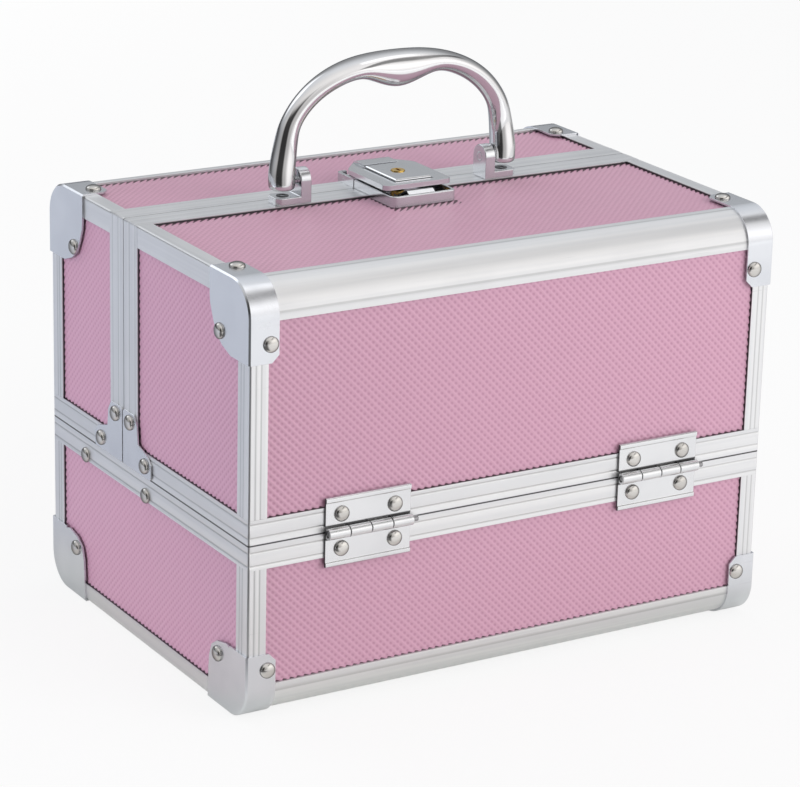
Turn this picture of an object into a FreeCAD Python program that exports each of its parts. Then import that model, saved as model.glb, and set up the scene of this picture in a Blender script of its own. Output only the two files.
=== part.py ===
import FreeCAD, Part
import math
import os

V = FreeCAD.Vector

# A train case for make-up: a deep base, a large lid with the handle and the mirror, and a small
# lid that lifts two trays on parallel arms.  Millimetres.  Origin: middle of the footprint, on
# the floor.  +X runs along the length, -Y is the long side of the mirror lid, +Z is up.

# ---------------------------------------------------------------- driving sizes of the case
CASE_LENGTH = 240.0        # outer faces of the end profiles
CASE_DEPTH = 173.0         # outer faces of the long sides
CASE_HEIGHT = 176.2        # floor to the top of the lids
PARTING_Z = 73.6           # where the lids meet the base
SEAM_Y = 19.5              # where the two lids meet
LID_GAP = 0.4              # air between the two lids

SKIN = 1.0                 # outer wall of the aluminium profiles
BOARD = 3.0                # wooden boards
INNER = 1.2                # inner flange of the profiles, and the lining beside it
PROTECTOR = 0.8            # steel sheet of the corner protectors

BELT = 10.2                # height of the rim profiles
TONGUE = 1.5               # tongue of the base rim inside the lids
TONGUE_GAP = 0.5
EDGE_RADIUS = 13.3         # rounded long edges
EDGE_LIP = 1.2             # straight lip after the round
EDGE_FLANGE = 3.0          # how far the inner flange covers a board
POST_FRONT = 8.0           # corner post, width on the long side
POST_END = 9.4             # corner post, width on the end
STRIP_SIDE = 9.2           # end strip, height on the end of a lid
STRIP_TOP = 7.0            # end strip, width on top
BASE_STRIP = 7.0           # end strip of the base, height
SEAM_STRIP = 12.0          # width of the profile beside the seam
SEAM_FLANGE = 5.0
CORNER_RADIUS = 1.0        # outer corners of the profiles
GROOVE_WIDTH = 1.2         # shallow V grooves along the profiles
GROOVE_DEPTH = 0.18

# ---------------------------------------------------------------- protectors and plates
PROTECTOR_FRONT = 12.0     # width on the long side and on top
PROTECTOR_END = 31.0       # reach on the end
PROTECTOR_DROP = 30.5      # height on a lid's corner
PROTECTOR_RISE = 27.5      # height on a base corner
PROTECTOR_EDGE = 0.7       # break of its outer edges
PROTECTOR_FLAT = 30.5      # reach of the strip on top, from the long side
PLATE_REACH = 25.0         # corner plate at the seam, along the rim
PLATE_HEIGHT = 23.4        # corner plate at the seam, up the seam profile
PLATE_RIVET_IN = 6.5       # its upper rivet, from the seam
PLATE_RIVET_UP = 19.3      # and above the parting line

# ---------------------------------------------------------------- hinges
HINGE_X = 68.0             # middle of each hinge
HINGE_WIDTH = 38.0
HINGE_OUT = 2.4            # pivot line outside the long side
LEAF_REACH = 14.2          # leaf edge from the pivot line
LEAF = 1.0
LEAF_BEAD = 2.4            # raised bead along the leaf's outer edge
KNUCKLE_RADIUS = 2.3
KNUCKLES = 4
KNUCKLE_GAP = 0.3
PIN_FLATS = 12             # flats round pins, their holes and the knuckles
HINGE_PIN = 1.2
HINGE_BORE = 1.25
PIN_END = 2.5              # the pin stands out at one end

# ---------------------------------------------------------------- handle and its brackets
HANDLE_Y = 12.5
HANDLE_HALF_WIDTH = 58.0   # outer outline of the arch
HANDLE_RISE = 49.3         # arch top above the pivot
ARCH_POWER = 2.5           # squareness of the arch
LEG_RADIUS = 5.75
LEG_STRAIGHT = 0.95        # straight part of the legs above the pivot, in leg radii
ARCH_STEPS = 18            # sections along the arch
ARCH_SIDES = 14            # sides of each section
WAIST = 4.75               # half thickness beside the grip
GRIP = 7.8                 # half thickness in the middle of the grip
GRIP_REACH = 22.0          # the grip's bulge ends here
GRIP_HALF_DEPTH = 7.9      # half depth of the arch at its top
HANDLE_PIVOT = 9.0         # pivot above the lid
POST = 4.7
POST_HALF_DEPTH = 5.0
FOOT = 3.0
FOOT_LENGTH = 10.9
HANDLE_PIN = 1.75
POST_FLATS = 8             # flats round the top of a post

# ---------------------------------------------------------------- latch
LATCH_HALF = 15.0          # half width of the catch box and of the hinge pan
FRAME_FRONT_Y = -12.6
FRAME_TOP = 3.8            # top of the catch box above the lid
FRAME_WALL = 1.6
FRAME_FLOOR = 0.5
PAN_REAR_Y = 34.3
PAN_NOTCH_HALF = 10.5      # notch in the pan's rear wall, where the tail swings through
FLAP_HALF = 15.9
FLAP_FRONT_Y = -7.6
FLAP = 2.0
FLAP_GAP = 1.5             # flap above the catch box
FLAP_PIVOT_Y = 28.0
FLAP_PIVOT_UP = 2.7        # flap pivot above the lid
WING_BACK = 5.0            # the wings narrow from here, in front of the pivot
WING_CORNER = 5.0
BARREL_RADIUS = 2.0
TAIL_REACH = 4.0           # tail behind the pivot
TAIL_HALF = 8.0
LATCH_PIN = 1.0
KEY_PLATE_HALF = 8.4
KEY_PLATE_LENGTH = 24.6
KEY_PLATE = 1.0
KEY_GAP = 1.2              # groove between key plate and tail block
KEY_Y = 9.4
KEY_RADIUS = 2.9
CAM_LENGTH = 12.4
CAM = 1.0
CATCH_LIP = 2.6
SPRING_HALF = 6.2
SPRING = 0.5

# ---------------------------------------------------------------- trays, arms and lid links
ARM_PIVOT_FRONT_Y = 0.0
ARM_SPACING = 54.9         # front arm to rear arm
ARM_PIVOT_Z = 65.8
ARM_LEAN = 47.5            # lean of the arms with the lids closed, degrees
ARM = 1.5
ARM_WIDTH = 9.0
LOWER_ARM_R = 44.7         # lower tray's pivot on the arm
LINK = 1.2
LINK_WIDTH = 7.0
BRACKET = 1.0              # link bracket inside the tray lid
BRACKET_WIDTH = 8.4
BAR_FLATS = 6              # flats round the end of an arm or a link
LAYER_GAP = 0.4            # air between wall, link, arm and tray
PIVOT = 1.6                # pivot studs
PIVOT_PLAY = 0.05
TRAY_FRONT_Y = -76.0
TRAY_REAR_Y = 58.0
TRAY_HEIGHT = 22.0
TRAY_BELOW_PIVOT = 12.0
TRAY_SPACE = 2.0           # air between the two trays
TRAY_WALL = 2.0
TRAY_CORNER = 6.0
DIVIDER = 1.6

# ---------------------------------------------------------------- mirror
MIRROR = 3.0
MIRROR_BACK = 1.0          # padded backing between lining and glass
MIRROR_HALF_LENGTH = 95.0
MIRROR_MARGIN = 15.0       # from the lid's long inner face
CLIP_X = 60.0
CLIP_HALF = 7.0
CLIP = 0.8
CLIP_LIP = 4.0
CLIP_FOOT = 6.8

# ---------------------------------------------------------------- derived planes
# D1, D2 and D3 are depths inward from an outer face: to the back of a profile's outer wall, of a
# board and of an inner flange.  FAR is longer than anything that it cuts.
HALF_X = CASE_LENGTH / 2
HALF_Y = CASE_DEPTH / 2
TOP = CASE_HEIGHT
BOTTOM = PROTECTOR
D1 = SKIN
D2 = SKIN + BOARD
D3 = SKIN + BOARD + INNER
EDGE_END = EDGE_RADIUS + EDGE_LIP
MITRE = D3 + 3.0
SEAM_FRONT = SEAM_Y - LID_GAP / 2
SEAM_REAR = SEAM_Y + LID_GAP / 2
HINGE_Y = HALF_Y + HINGE_OUT
FAR = 400.0

LINK_OUT = HALF_X - D3 - BRACKET - LAYER_GAP
LINK_IN = LINK_OUT - LINK
ARM_OUT = LINK_IN - LAYER_GAP
ARM_IN = ARM_OUT - ARM
TRAY_END = ARM_IN - LAYER_GAP
LEAN_Y = -math.sin(math.radians(ARM_LEAN))
LEAN_Z = math.cos(math.radians(ARM_LEAN))
UPPER_ARM_R = LOWER_ARM_R + (TRAY_HEIGHT + TRAY_SPACE) / LEAN_Z
LINK_ARM_R = (LOWER_ARM_R + UPPER_ARM_R) / 2
ARM_PIVOT_REAR_Y = ARM_PIVOT_FRONT_Y + ARM_SPACING

LEG_X = HANDLE_HALF_WIDTH - LEG_RADIUS
POST_OUT = LEG_X - LEG_RADIUS - 0.3
POST_IN = POST_OUT - POST
PIVOT_Z = TOP + HANDLE_PIVOT
FRAME_Z = TOP + FRAME_TOP
FLAP_Z = FRAME_Z + FLAP_GAP
FLAP_PIVOT_Z = TOP + FLAP_PIVOT_UP

MIRROR_FRONT_Y = -HALF_Y + D3 + MIRROR_MARGIN
MIRROR_REAR_Y = SEAM_FRONT - SEAM_FLANGE - 2.0

AXES = {"x": V(1, 0, 0), "y": V(0, 1, 0), "z": V(0, 0, 1)}


# ---------------------------------------------------------------- drawing helpers
def place(normal, a, b):
    """A point of a sketch whose plane has the given normal."""
    if normal == "x":
        return V(0, a, b)
    if normal == "y":
        return V(a, 0, b)
    return V(a, b, 0)


def rounded_corner(before, corner, after, radius):
    """Start, middle and end of the arc that rounds one corner of an outline."""
    to_before = (before - corner).normalize()
    to_after = (after - corner).normalize()
    half = to_before.getAngle(to_after) / 2
    reach = radius / math.tan(half)
    bisector = (to_before + to_after).normalize()
    middle = corner + bisector * (radius / math.sin(half) - radius)
    return corner + to_before * reach, middle, corner + to_after * reach


def outline(normal, corners):
    """Closed wire through (a, b) or (a, b, radius) corners."""
    points = [place(normal, c[0], c[1]) for c in corners]
    radii = [c[2] if len(c) > 2 else 0.0 for c in corners]
    count = len(points)
    edges = []
    stops = []
    for i in range(count):
        if radii[i] > 0:
            arc = rounded_corner(points[i - 1], points[i], points[(i + 1) % count], radii[i])
            stops.append((arc[0], arc[2], arc[1]))
        else:
            stops.append((points[i], points[i], None))
    for i in range(count):
        start, end, middle = stops[i]
        if middle is not None:
            edges.append(Part.Arc(start, middle, end).toShape())
        following = stops[(i + 1) % count][0]
        if (following - end).Length > 1e-6:
            edges.append(Part.LineSegment(end, following).toShape())
    return Part.Wire(edges)


def prism(normal, corners, start, end):
    """Outline extruded along its normal from start to end."""
    face = Part.Face(outline(normal, corners))
    face.translate(AXES[normal] * start)
    return face.extrude(AXES[normal] * (end - start))


def box(x0, x1, y0, y1, z0, z1):
    return Part.makeBox(x1 - x0, y1 - y0, z1 - z0, V(x0, y0, z0))


def ring(centre, across, up, half_across, half_up, sides):
    """Points spread round an ellipse."""
    points = []
    for i in range(sides):
        turn = 2 * math.pi * (i + 0.5) / sides
        points.append(centre + across * (half_across * math.cos(turn)) + up * (half_up * math.sin(turn)))
    return points


def flat_face(points):
    return Part.Face(Part.makePolygon(points + points[:1]))


def faceted_loft(rings):
    """Solid through rings of points, skinned with flat triangles."""
    faces = [flat_face(rings[0]), flat_face(rings[-1])]
    for near, far in zip(rings, rings[1:]):
        for i in range(len(near)):
            faces.append(flat_face([near[i - 1], near[i], far[i]]))
            faces.append(flat_face([near[i - 1], far[i], far[i - 1]]))
    shell = Part.makeShell(faces)
    shell.sewShape()
    return Part.makeSolid(shell)


def peg(normal, x, y, z, radius, length):
    """Pin with a few flats, its corners on the radius."""
    across, up = {"x": ("y", "z"), "z": ("x", "y")}[normal]
    face = flat_face(ring(V(x, y, z), AXES[across], AXES[up], radius, radius, PIN_FLATS))
    return face.extrude(AXES[normal] * length)


def peg_hole(normal, x, y, z, radius, length):
    """Matching hole, its flats on the radius, so that a smaller pin turns in it."""
    return peg(normal, x, y, z, radius / math.cos(math.pi / PIN_FLATS), length)


def flip_x(shape):
    return shape.mirror(V(0, 0, 0), V(1, 0, 0))


def flip_y(shape):
    return shape.mirror(V(0, 0, 0), V(0, 1, 0))


def both_ends(shape):
    """The shape and its mirror image at the other end of the case."""
    return [shape, flip_x(shape)]


def group(shapes):
    """Separate solids as one named node."""
    solids = []
    for shape in shapes:
        solids.extend(shape.Solids)
    return Part.makeCompound(solids)


def grooved(start, end, places):
    """Points along an outline's straight side with V grooves at the given distances."""
    length = math.dist(start, end)
    along = ((end[0] - start[0]) / length, (end[1] - start[1]) / length)
    inward = (-along[1], along[0])
    points = [start]
    for distance in places:
        for step, depth in ((-0.5, 0.0), (0.0, GROOVE_DEPTH), (0.5, 0.0)):
            reach = distance + step * GROOVE_WIDTH
            points.append((start[0] + along[0] * reach + inward[0] * depth,
                           start[1] + along[1] * reach + inward[1] * depth))
    return points


# ---------------------------------------------------------------- profile sections
# A section is drawn in (d, h): d is the depth inward from the outer face.
def base_rim_section():
    """Rim of the base with its tongue; h is measured up from the parting line."""
    side = grooved((0.0, 0.0), (0.0, -BELT), [3.0, BELT - 1.8])
    flange = BELT - 3.7
    return side + [(0.0, -BELT), (D1, -BELT), (D1, -2.0), (D2, -2.0), (D2, -flange),
                   (D3, -flange), (D3, TONGUE), (D2, TONGUE), (D2, 0.0)]


def lid_rim_section():
    """Rim of a lid, stepped to take the tongue of the base."""
    step = TONGUE + TONGUE_GAP
    shelf = D2 - TONGUE_GAP
    side = grooved((0.0, BELT), (0.0, 0.0), [1.8, BELT - 3.0])
    flange = BELT - 3.7
    return side + [(0.0, 0.0), (shelf, 0.0), (shelf, step), (D3, step), (D3, flange), (D2, flange),
                   (D2, step + 1.0), (D1, step + 1.0), (D1, BELT)]


LID_BOARD_SEAT = TONGUE + TONGUE_GAP + 1.0
BASE_BOARD_SEAT = 2.0


def edge_section():
    """Rounded long edge; (u, v) run inward from the two outer faces that it joins."""
    return [(0.0, EDGE_END), (0.0, 0.0, EDGE_RADIUS), (EDGE_END, 0.0), (EDGE_END, D1),
            (EDGE_RADIUS, D1), (EDGE_RADIUS, D2), (EDGE_END + EDGE_FLANGE, D2),
            (EDGE_END + EDGE_FLANGE, D3), (D3, D3, EDGE_RADIUS - D3),
            (D3, EDGE_END + EDGE_FLANGE), (D2, EDGE_END + EDGE_FLANGE), (D2, EDGE_RADIUS),
            (D1, EDGE_RADIUS), (D1, EDGE_END)]


def edge_chamber():
    """Hollow inside the rounded edge."""
    near = D1 + 0.3
    deep = D2
    stop = EDGE_RADIUS - 1.0
    return [(near, stop), (near, near, stop - near), (stop, near), (stop, deep),
            (deep, deep, stop - deep), (deep, stop)]


def post_section():
    """Corner post; (s, u) run inward from the end face and from the long side."""
    front = grooved((CORNER_RADIUS, 0.0), (POST_FRONT, 0.0), [1.7, 4.0])[1:]
    end = grooved((0.0, POST_END), (0.0, CORNER_RADIUS), [2.4, 4.7])
    return [(0.0, 0.0, CORNER_RADIUS)] + front + [(POST_FRONT, 0.0), (POST_FRONT, D1), (D2, D1),
            (D2, D2), (D1, D2), (D1, POST_END)] + end


def strip_section(side, top):
    """End strip; (s, v) run inward from the end face and from the top or the bottom."""
    return [(0.0, 0.0, CORNER_RADIUS), (top, 0.0), (top, D1), (D2, D1), (D2, D2), (D1, D2),
            (D1, side), (0.0, side)]


def length_along_x(section, z0, up):
    """A rim length on the -Y side, mitred at both ends; h runs up or down from z0."""
    shape = prism("x", [(-HALF_Y + d[0], z0 + up * d[1]) for d in section], -HALF_X, HALF_X)
    cut = [(-HALF_X, -HALF_Y), (HALF_X, -HALF_Y), (HALF_X - MITRE, -HALF_Y + MITRE),
           (-HALF_X + MITRE, -HALF_Y + MITRE)]
    return shape.common(prism("z", cut, 0, FAR)).common(case_column())


def length_along_y(section, z0, up, y_end, mitred_end):
    """A rim length on the -X end, mitred at -Y; it stops square or mitred at y_end."""
    flat = [(-HALF_X + d[0], z0 + up * d[1]) for d in section]
    shape = prism("y", flat, -HALF_Y, y_end)
    far = y_end - MITRE if mitred_end else y_end
    cut = [(-HALF_X, -HALF_Y), (-HALF_X + MITRE, -HALF_Y + MITRE), (-HALF_X + MITRE, far),
           (-HALF_X, y_end)]
    return shape.common(prism("z", cut, 0, FAR)).common(case_column())


def case_column():
    """Upright column with the rounded corners of the case."""
    r = CORNER_RADIUS
    corners = [(-HALF_X, -HALF_Y, r), (HALF_X, -HALF_Y, r), (HALF_X, HALF_Y, r), (-HALF_X, HALF_Y, r)]
    return prism("z", corners, -10, FAR)


# ---------------------------------------------------------------- hinges
def leaf(x_mid, up, first_knuckle):
    """Hinge leaf on the -Y side; up is +1 on a lid and -1 on the base, which carries the pin."""
    face = HALF_Y
    reach = LEAF_REACH - LEAF_BEAD
    clear = KNUCKLE_RADIUS + KNUCKLE_GAP
    section = [(-face, PARTING_Z + up * clear), (-face - LEAF, PARTING_Z + up * clear),
               (-face - LEAF, PARTING_Z + up * reach), (-face - LEAF - 0.5, PARTING_Z + up * (reach + 0.6)),
               (-face - LEAF - 0.5, PARTING_Z + up * (LEAF_REACH - 0.5)),
               (-face - LEAF, PARTING_Z + up * LEAF_REACH), (-face, PARTING_Z + up * LEAF_REACH)]
    plate = prism("x", section, x_mid - HINGE_WIDTH / 2, x_mid + HINGE_WIDTH / 2)
    pitch = HINGE_WIDTH / KNUCKLES
    for i in range(first_knuckle, KNUCKLES, 2):
        x0 = x_mid - HINGE_WIDTH / 2 + i * pitch + KNUCKLE_GAP / 2
        length = pitch - KNUCKLE_GAP
        low, high = sorted((PARTING_Z, PARTING_Z + up * (clear + 0.5)))
        root = box(x0, x0 + length, -face - LEAF, -face, low, high)
        plate = plate.fuse(root).fuse(peg("x", x0, -HINGE_Y, PARTING_Z, KNUCKLE_RADIUS, length))
    start = x_mid - HINGE_WIDTH / 2
    if up > 0:
        plate = plate.cut(peg_hole("x", start, -HINGE_Y, PARTING_Z, HINGE_BORE, HINGE_WIDTH))
    else:
        plate = plate.fuse(peg("x", start, -HINGE_Y, PARTING_Z, HINGE_PIN, HINGE_WIDTH + PIN_END))
    return plate.removeSplitter()


# ---------------------------------------------------------------- corner protectors
def corner_shell(z_face, up):
    """Steel sheet over the whole -Y long edge and the ends; up is +1 at the top."""
    t = PROTECTOR
    r = EDGE_RADIUS
    deep = z_face - up * 60.0
    inner = [(-HALF_Y, deep), (-HALF_Y, z_face, r), (FAR, z_face), (FAR, deep)]
    outer = [(-HALF_Y - t, deep), (-HALF_Y - t, z_face + up * t, r + t), (FAR, z_face + up * t), (FAR, deep)]
    solid = prism("x", outer, -HALF_X - t, 0)
    rim = [e for e in solid.Edges if abs(e.BoundBox.XMin + HALF_X + t) < 1e-6
           and abs(e.BoundBox.XMax + HALF_X + t) < 1e-6 and e.BoundBox.YMin < FAR - 1
           and abs(e.CenterOfMass.z - deep) > 1e-6]
    solid = solid.makeChamfer(PROTECTOR_EDGE, rim)
    return solid.cut(prism("x", inner, -HALF_X, 0))


def protector(z_face, up, end_corners, height):
    """Corner protector at -X, -Y: a strip round the long edge and a cheek on the end."""
    shell = corner_shell(z_face, up)
    t = PROTECTOR
    strip_edge = -HALF_X + PROTECTOR_FRONT
    low = z_face - up * height
    front = prism("y", [(-HALF_X - t, z_face + up * t), (-HALF_X - t, low), (strip_edge - 3.0, low),
                        (strip_edge, low + up * 3.0), (strip_edge, z_face + up * t)],
                  -HALF_Y - t, -HALF_Y + EDGE_RADIUS)
    back = -HALF_Y + PROTECTOR_FLAT
    flat_low, flat_high = sorted((z_face - up * EDGE_RADIUS, z_face + up * t))
    flat = prism("z", [(-HALF_X - t, -HALF_Y + D3), (strip_edge, -HALF_Y + D3), (strip_edge, back - 3.0),
                       (strip_edge - 3.0, back), (-HALF_X - t, back)], flat_low, flat_high)
    cheek = prism("x", [(-HALF_Y + u, z_face - up * v, *r) for u, v, *r in end_corners],
                  -HALF_X - t, -HALF_X)
    region = front.fuse(flat).fuse(cheek)
    return shell.common(region).removeSplitter()


def lid_cheek():
    t = PROTECTOR
    return [(-t, -t), (-t, PROTECTOR_DROP), (14.0, PROTECTOR_DROP), (21.0, 28.0), (25.5, 24.5),
            (28.0, 20.0), (30.5, 14.0), (PROTECTOR_END, 10.5), (PROTECTOR_END, -t)]


def base_cheek():
    t = PROTECTOR
    return [(-t, -t), (-t, PROTECTOR_RISE - 2.0), (8.0, PROTECTOR_RISE - 2.5),
            (16.0, PROTECTOR_RISE), (23.5, PROTECTOR_RISE - 1.5), (28.0, PROTECTOR_RISE - 4.5),
            (30.0, PROTECTOR_RISE - 10.0), (PROTECTOR_END, -t)]


def seam_plate(seam):
    """Corner plate on the -X end, where the seam profile stands on the rim."""
    z = PARTING_Z + 0.2
    y = seam - 0.2
    corners = [(y, z), (y - PLATE_REACH + 1.0, z), (y - PLATE_REACH, z + 1.0), (y - PLATE_REACH, z + 6.5),
               (y - PLATE_REACH + 3.0, z + 9.5), (y - 13.5, z + 12.0), (y - 12.6, z + PLATE_HEIGHT - 4.0),
               (y - 10.0, z + PLATE_HEIGHT), (y - 1.0, z + PLATE_HEIGHT), (y, z + PLATE_HEIGHT - 1.0)]
    return prism("x", corners, -HALF_X - PROTECTOR, -HALF_X)


# ---------------------------------------------------------------- one lid, drawn on the -Y side
def lid_edge():
    solid = prism("x", [(-HALF_Y + c[0], TOP - c[1], *c[2:]) for c in edge_section()], -HALF_X, HALF_X)
    hollow = prism("x", [(-HALF_Y + c[0], TOP - c[1], *c[2:]) for c in edge_chamber()], -HALF_X, HALF_X)
    return solid.cut(hollow)


def lid_posts():
    corners = [(-HALF_X + c[0], -HALF_Y + c[1], *c[2:]) for c in post_section()]
    return both_ends(prism("z", corners, PARTING_Z + BELT, TOP - EDGE_END).cut(lid_edge()))


def lid_end_strips(seam):
    corners = [(-HALF_X + c[0], TOP - c[1], *c[2:]) for c in strip_section(STRIP_SIDE, STRIP_TOP)]
    return both_ends(prism("y", corners, -HALF_Y + EDGE_END, seam - SEAM_STRIP).cut(lid_edge()))


def lid_rim(seam):
    section = lid_rim_section()
    side = length_along_y(section, PARTING_Z, 1, seam, False)
    return [length_along_x(section, PARTING_Z, 1)] + both_ends(side)


def seam_section():
    """Channel beside the seam; (w, d) run from the seam face and inward."""
    face = grooved((SEAM_STRIP, 0.0), (0.0, 0.0), [2.2, 7.2])
    return face + [(0.0, 0.0), (0.0, D3), (SEAM_FLANGE, D3), (SEAM_FLANGE, D2), (INNER, D2),
                   (INNER, D1), (SEAM_STRIP, D1)]


def seam_frame(seam):
    """Two uprights and a top length, mitred, round the open side of a lid."""
    flat = seam_section()
    r = CORNER_RADIUS
    silhouette = prism("y", [(-HALF_X, 0), (-HALF_X, TOP, r), (HALF_X, TOP, r), (HALF_X, 0)], -FAR, FAR)
    top = prism("x", [(seam - w, TOP - abs(d)) for w, d in flat], -HALF_X, HALF_X)
    top_cut = prism("y", [(-HALF_X, TOP), (HALF_X, TOP), (HALF_X - MITRE, TOP - MITRE),
                          (-HALF_X + MITRE, TOP - MITRE)], -FAR, FAR)
    upright = prism("z", [(-HALF_X + abs(d), seam - w) for w, d in flat], PARTING_Z + BELT, TOP)
    upright_cut = prism("y", [(-HALF_X, TOP), (-HALF_X + MITRE, TOP - MITRE), (-HALF_X + MITRE, 0),
                              (-HALF_X, 0)], -FAR, FAR)
    uprights = both_ends(upright.common(upright_cut).common(silhouette))
    return [top.common(top_cut).common(silhouette)] + uprights


def lid_boards(seam):
    """Long board, top board and the two end boards of a lid."""
    seat = PARTING_Z + LID_BOARD_SEAT
    inside = HALF_X - D2
    long_board = box(-inside, inside, -HALF_Y + D1, -HALF_Y + D2, seat, TOP - EDGE_RADIUS)
    top_board = box(-inside, inside, -HALF_Y + EDGE_RADIUS, seam - INNER, TOP - D2, TOP - D1)
    end = box(-HALF_X + D1, -inside, -HALF_Y + D2, seam - INNER, seat, TOP - D2)
    end = end.cut(lid_edge_block())
    return long_board, top_board, both_ends(end)


def lid_edge_block():
    """The rounded edge with its channels filled, to trim what ends against it."""
    corners = [(-HALF_Y + a, TOP - b, *r) for a, b, *r in edge_block_section()]
    return prism("x", corners, -HALF_X, HALF_X)


def edge_block_section():
    return [(-5.0, -5.0), (EDGE_END + EDGE_FLANGE, -5.0), (EDGE_END + EDGE_FLANGE, D3),
            (D3, D3, EDGE_RADIUS - D3), (D3, EDGE_END + EDGE_FLANGE), (-5.0, EDGE_END + EDGE_FLANGE)]


def lid_lining(seam):
    """Soft lining, one flange thick, inside the boards and between the profile flanges."""
    low = PARTING_Z + BELT - 3.7
    outside = box(-HALF_X + D2, HALF_X - D2, -HALF_Y + D2, seam - SEAM_FLANGE, low, TOP - D2)
    inside = box(-HALF_X + D3, HALF_X - D3, -HALF_Y + D3, seam, 0, TOP - D3)
    return outside.cut(inside).cut(lid_edge_block())


def lid(seam):
    """All plain pieces of a lid as a dictionary, drawn on the -Y side."""
    long_board, top_board, end_boards = lid_boards(seam)
    return {
        "long_board": long_board,
        "top_board": top_board,
        "end_boards": group(end_boards),
        "rim_profiles": group(lid_rim(seam)),
        "seam_profiles": group(seam_frame(seam)),
        "corner_posts": group(lid_posts()),
        "edge_profile": lid_edge(),
        "end_strips": group(lid_end_strips(seam)),
        "corner_protectors": group(both_ends(protector(TOP, 1, lid_cheek(), PROTECTOR_DROP))),
        "seam_plates": group(both_ends(seam_plate(seam))),
        "lining": lid_lining(seam),
        "hinge_leaves": group([leaf(side * HINGE_X, 1, 1) for side in (-1, 1)]),
    }


# ---------------------------------------------------------------- base
def base_edge():
    solid = prism("x", [(-HALF_Y + c[0], BOTTOM + c[1], *c[2:]) for c in edge_section()], -HALF_X, HALF_X)
    hollow = prism("x", [(-HALF_Y + c[0], BOTTOM + c[1], *c[2:]) for c in edge_chamber()], -HALF_X, HALF_X)
    return solid.cut(hollow)


def base_edge_block():
    corners = [(-HALF_Y + a, BOTTOM + b, *r) for a, b, *r in edge_block_section()]
    return prism("x", corners, -HALF_X, HALF_X)


def base_boards():
    """Front, bottom and one end board of the base."""
    cap = PARTING_Z - BASE_BOARD_SEAT
    inside = HALF_X - D2
    front = box(-inside, inside, -HALF_Y + D1, -HALF_Y + D2, BOTTOM + EDGE_RADIUS, cap)
    bottom = box(-inside, inside, -HALF_Y + EDGE_RADIUS, HALF_Y - EDGE_RADIUS, BOTTOM + D1, BOTTOM + D2)
    end = box(-HALF_X + D1, -inside, -HALF_Y + D2, HALF_Y - D2, BOTTOM + D2, cap)
    end = end.cut(base_edge_block()).cut(flip_y(base_edge_block()))
    return front, bottom, end


def base_lining():
    top = PARTING_Z - BELT + 3.7
    outside = box(-HALF_X + D2, HALF_X - D2, -HALF_Y + D2, HALF_Y - D2, BOTTOM + D2, top)
    hollow = box(-HALF_X + D3, HALF_X - D3, -HALF_Y + D3, HALF_Y - D3, BOTTOM + D3, FAR)
    return outside.cut(hollow).cut(base_edge_block()).cut(flip_y(base_edge_block()))


def four_corners(shape):
    """A corner piece at -X, -Y and its three mirror images."""
    pair = both_ends(shape)
    return pair + [flip_y(item) for item in pair]


def base():
    """All plain pieces of the base."""
    section = base_rim_section()
    front_rim = length_along_x(section, PARTING_Z, 1)
    end_rim = length_along_y(section, PARTING_Z, 1, HALF_Y, True)
    corners = [(-HALF_X + c[0], -HALF_Y + c[1], *c[2:]) for c in post_section()]
    edge = base_edge()
    post = prism("z", corners, BOTTOM + EDGE_END, PARTING_Z - BELT).cut(edge)
    corners = [(-HALF_X + c[0], BOTTOM + c[1], *c[2:]) for c in strip_section(BASE_STRIP, STRIP_TOP)]
    strip = prism("y", corners, -HALF_Y + EDGE_END, HALF_Y - EDGE_END).cut(edge).cut(flip_y(edge))
    front, bottom, end = base_boards()
    leaves = [leaf(side * HINGE_X, -1, 0) for side in (-1, 1)]
    return {
        "base_front_board": front,
        "base_rear_board": flip_y(front),
        "base_end_boards": group(both_ends(end)),
        "base_bottom_board": bottom,
        "base_rim_profiles": group([front_rim, flip_y(front_rim)] + both_ends(end_rim)),
        "base_corner_posts": group(four_corners(post)),
        "base_edge_profiles": group([edge, flip_y(edge)]),
        "base_end_strips": group(both_ends(strip)),
        "base_corner_protectors": group(four_corners(protector(BOTTOM, -1, base_cheek(), PROTECTOR_RISE))),
        "base_lining": base_lining(),
        "arm_pivot_studs": group(arm_pivots()),
        "base_hinge_leaves": group(leaves + [flip_y(item) for item in leaves]),
    }


# ---------------------------------------------------------------- tray mechanism
def arm_point(pivot_y, radius):
    """Place on an arm, with the lids closed."""
    return pivot_y + radius * LEAN_Y, ARM_PIVOT_Z + radius * LEAN_Z


def arm_pivots():
    """Shouldered studs that carry the four arms inside the base's ends."""
    pivots = []
    for y in (ARM_PIVOT_FRONT_Y, ARM_PIVOT_REAR_Y):
        shoulder = peg("x", -HALF_X + D3, y, ARM_PIVOT_Z, PIVOT + 1.6, HALF_X - D3 - ARM_OUT)
        stud = peg("x", -ARM_OUT, y, ARM_PIVOT_Z, PIVOT, ARM)
        pivots.extend(both_ends(shoulder.fuse(stud)))
    return pivots


def bar(x0, x1, start, end, width):
    """Flat bar between two points of a YZ sketch, its ends rounded by short flats."""
    heading = math.atan2(end[1] - start[1], end[0] - start[0])
    corners = []
    for centre, turned in ((start, math.pi), (end, 0.0)):
        for i in range(BAR_FLATS + 1):
            angle = heading + turned + math.pi * (i / BAR_FLATS - 0.5)
            corners.append((centre[0] + width / 2 * math.cos(angle), centre[1] + width / 2 * math.sin(angle)))
    return prism("x", corners, x0, x1)


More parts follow.
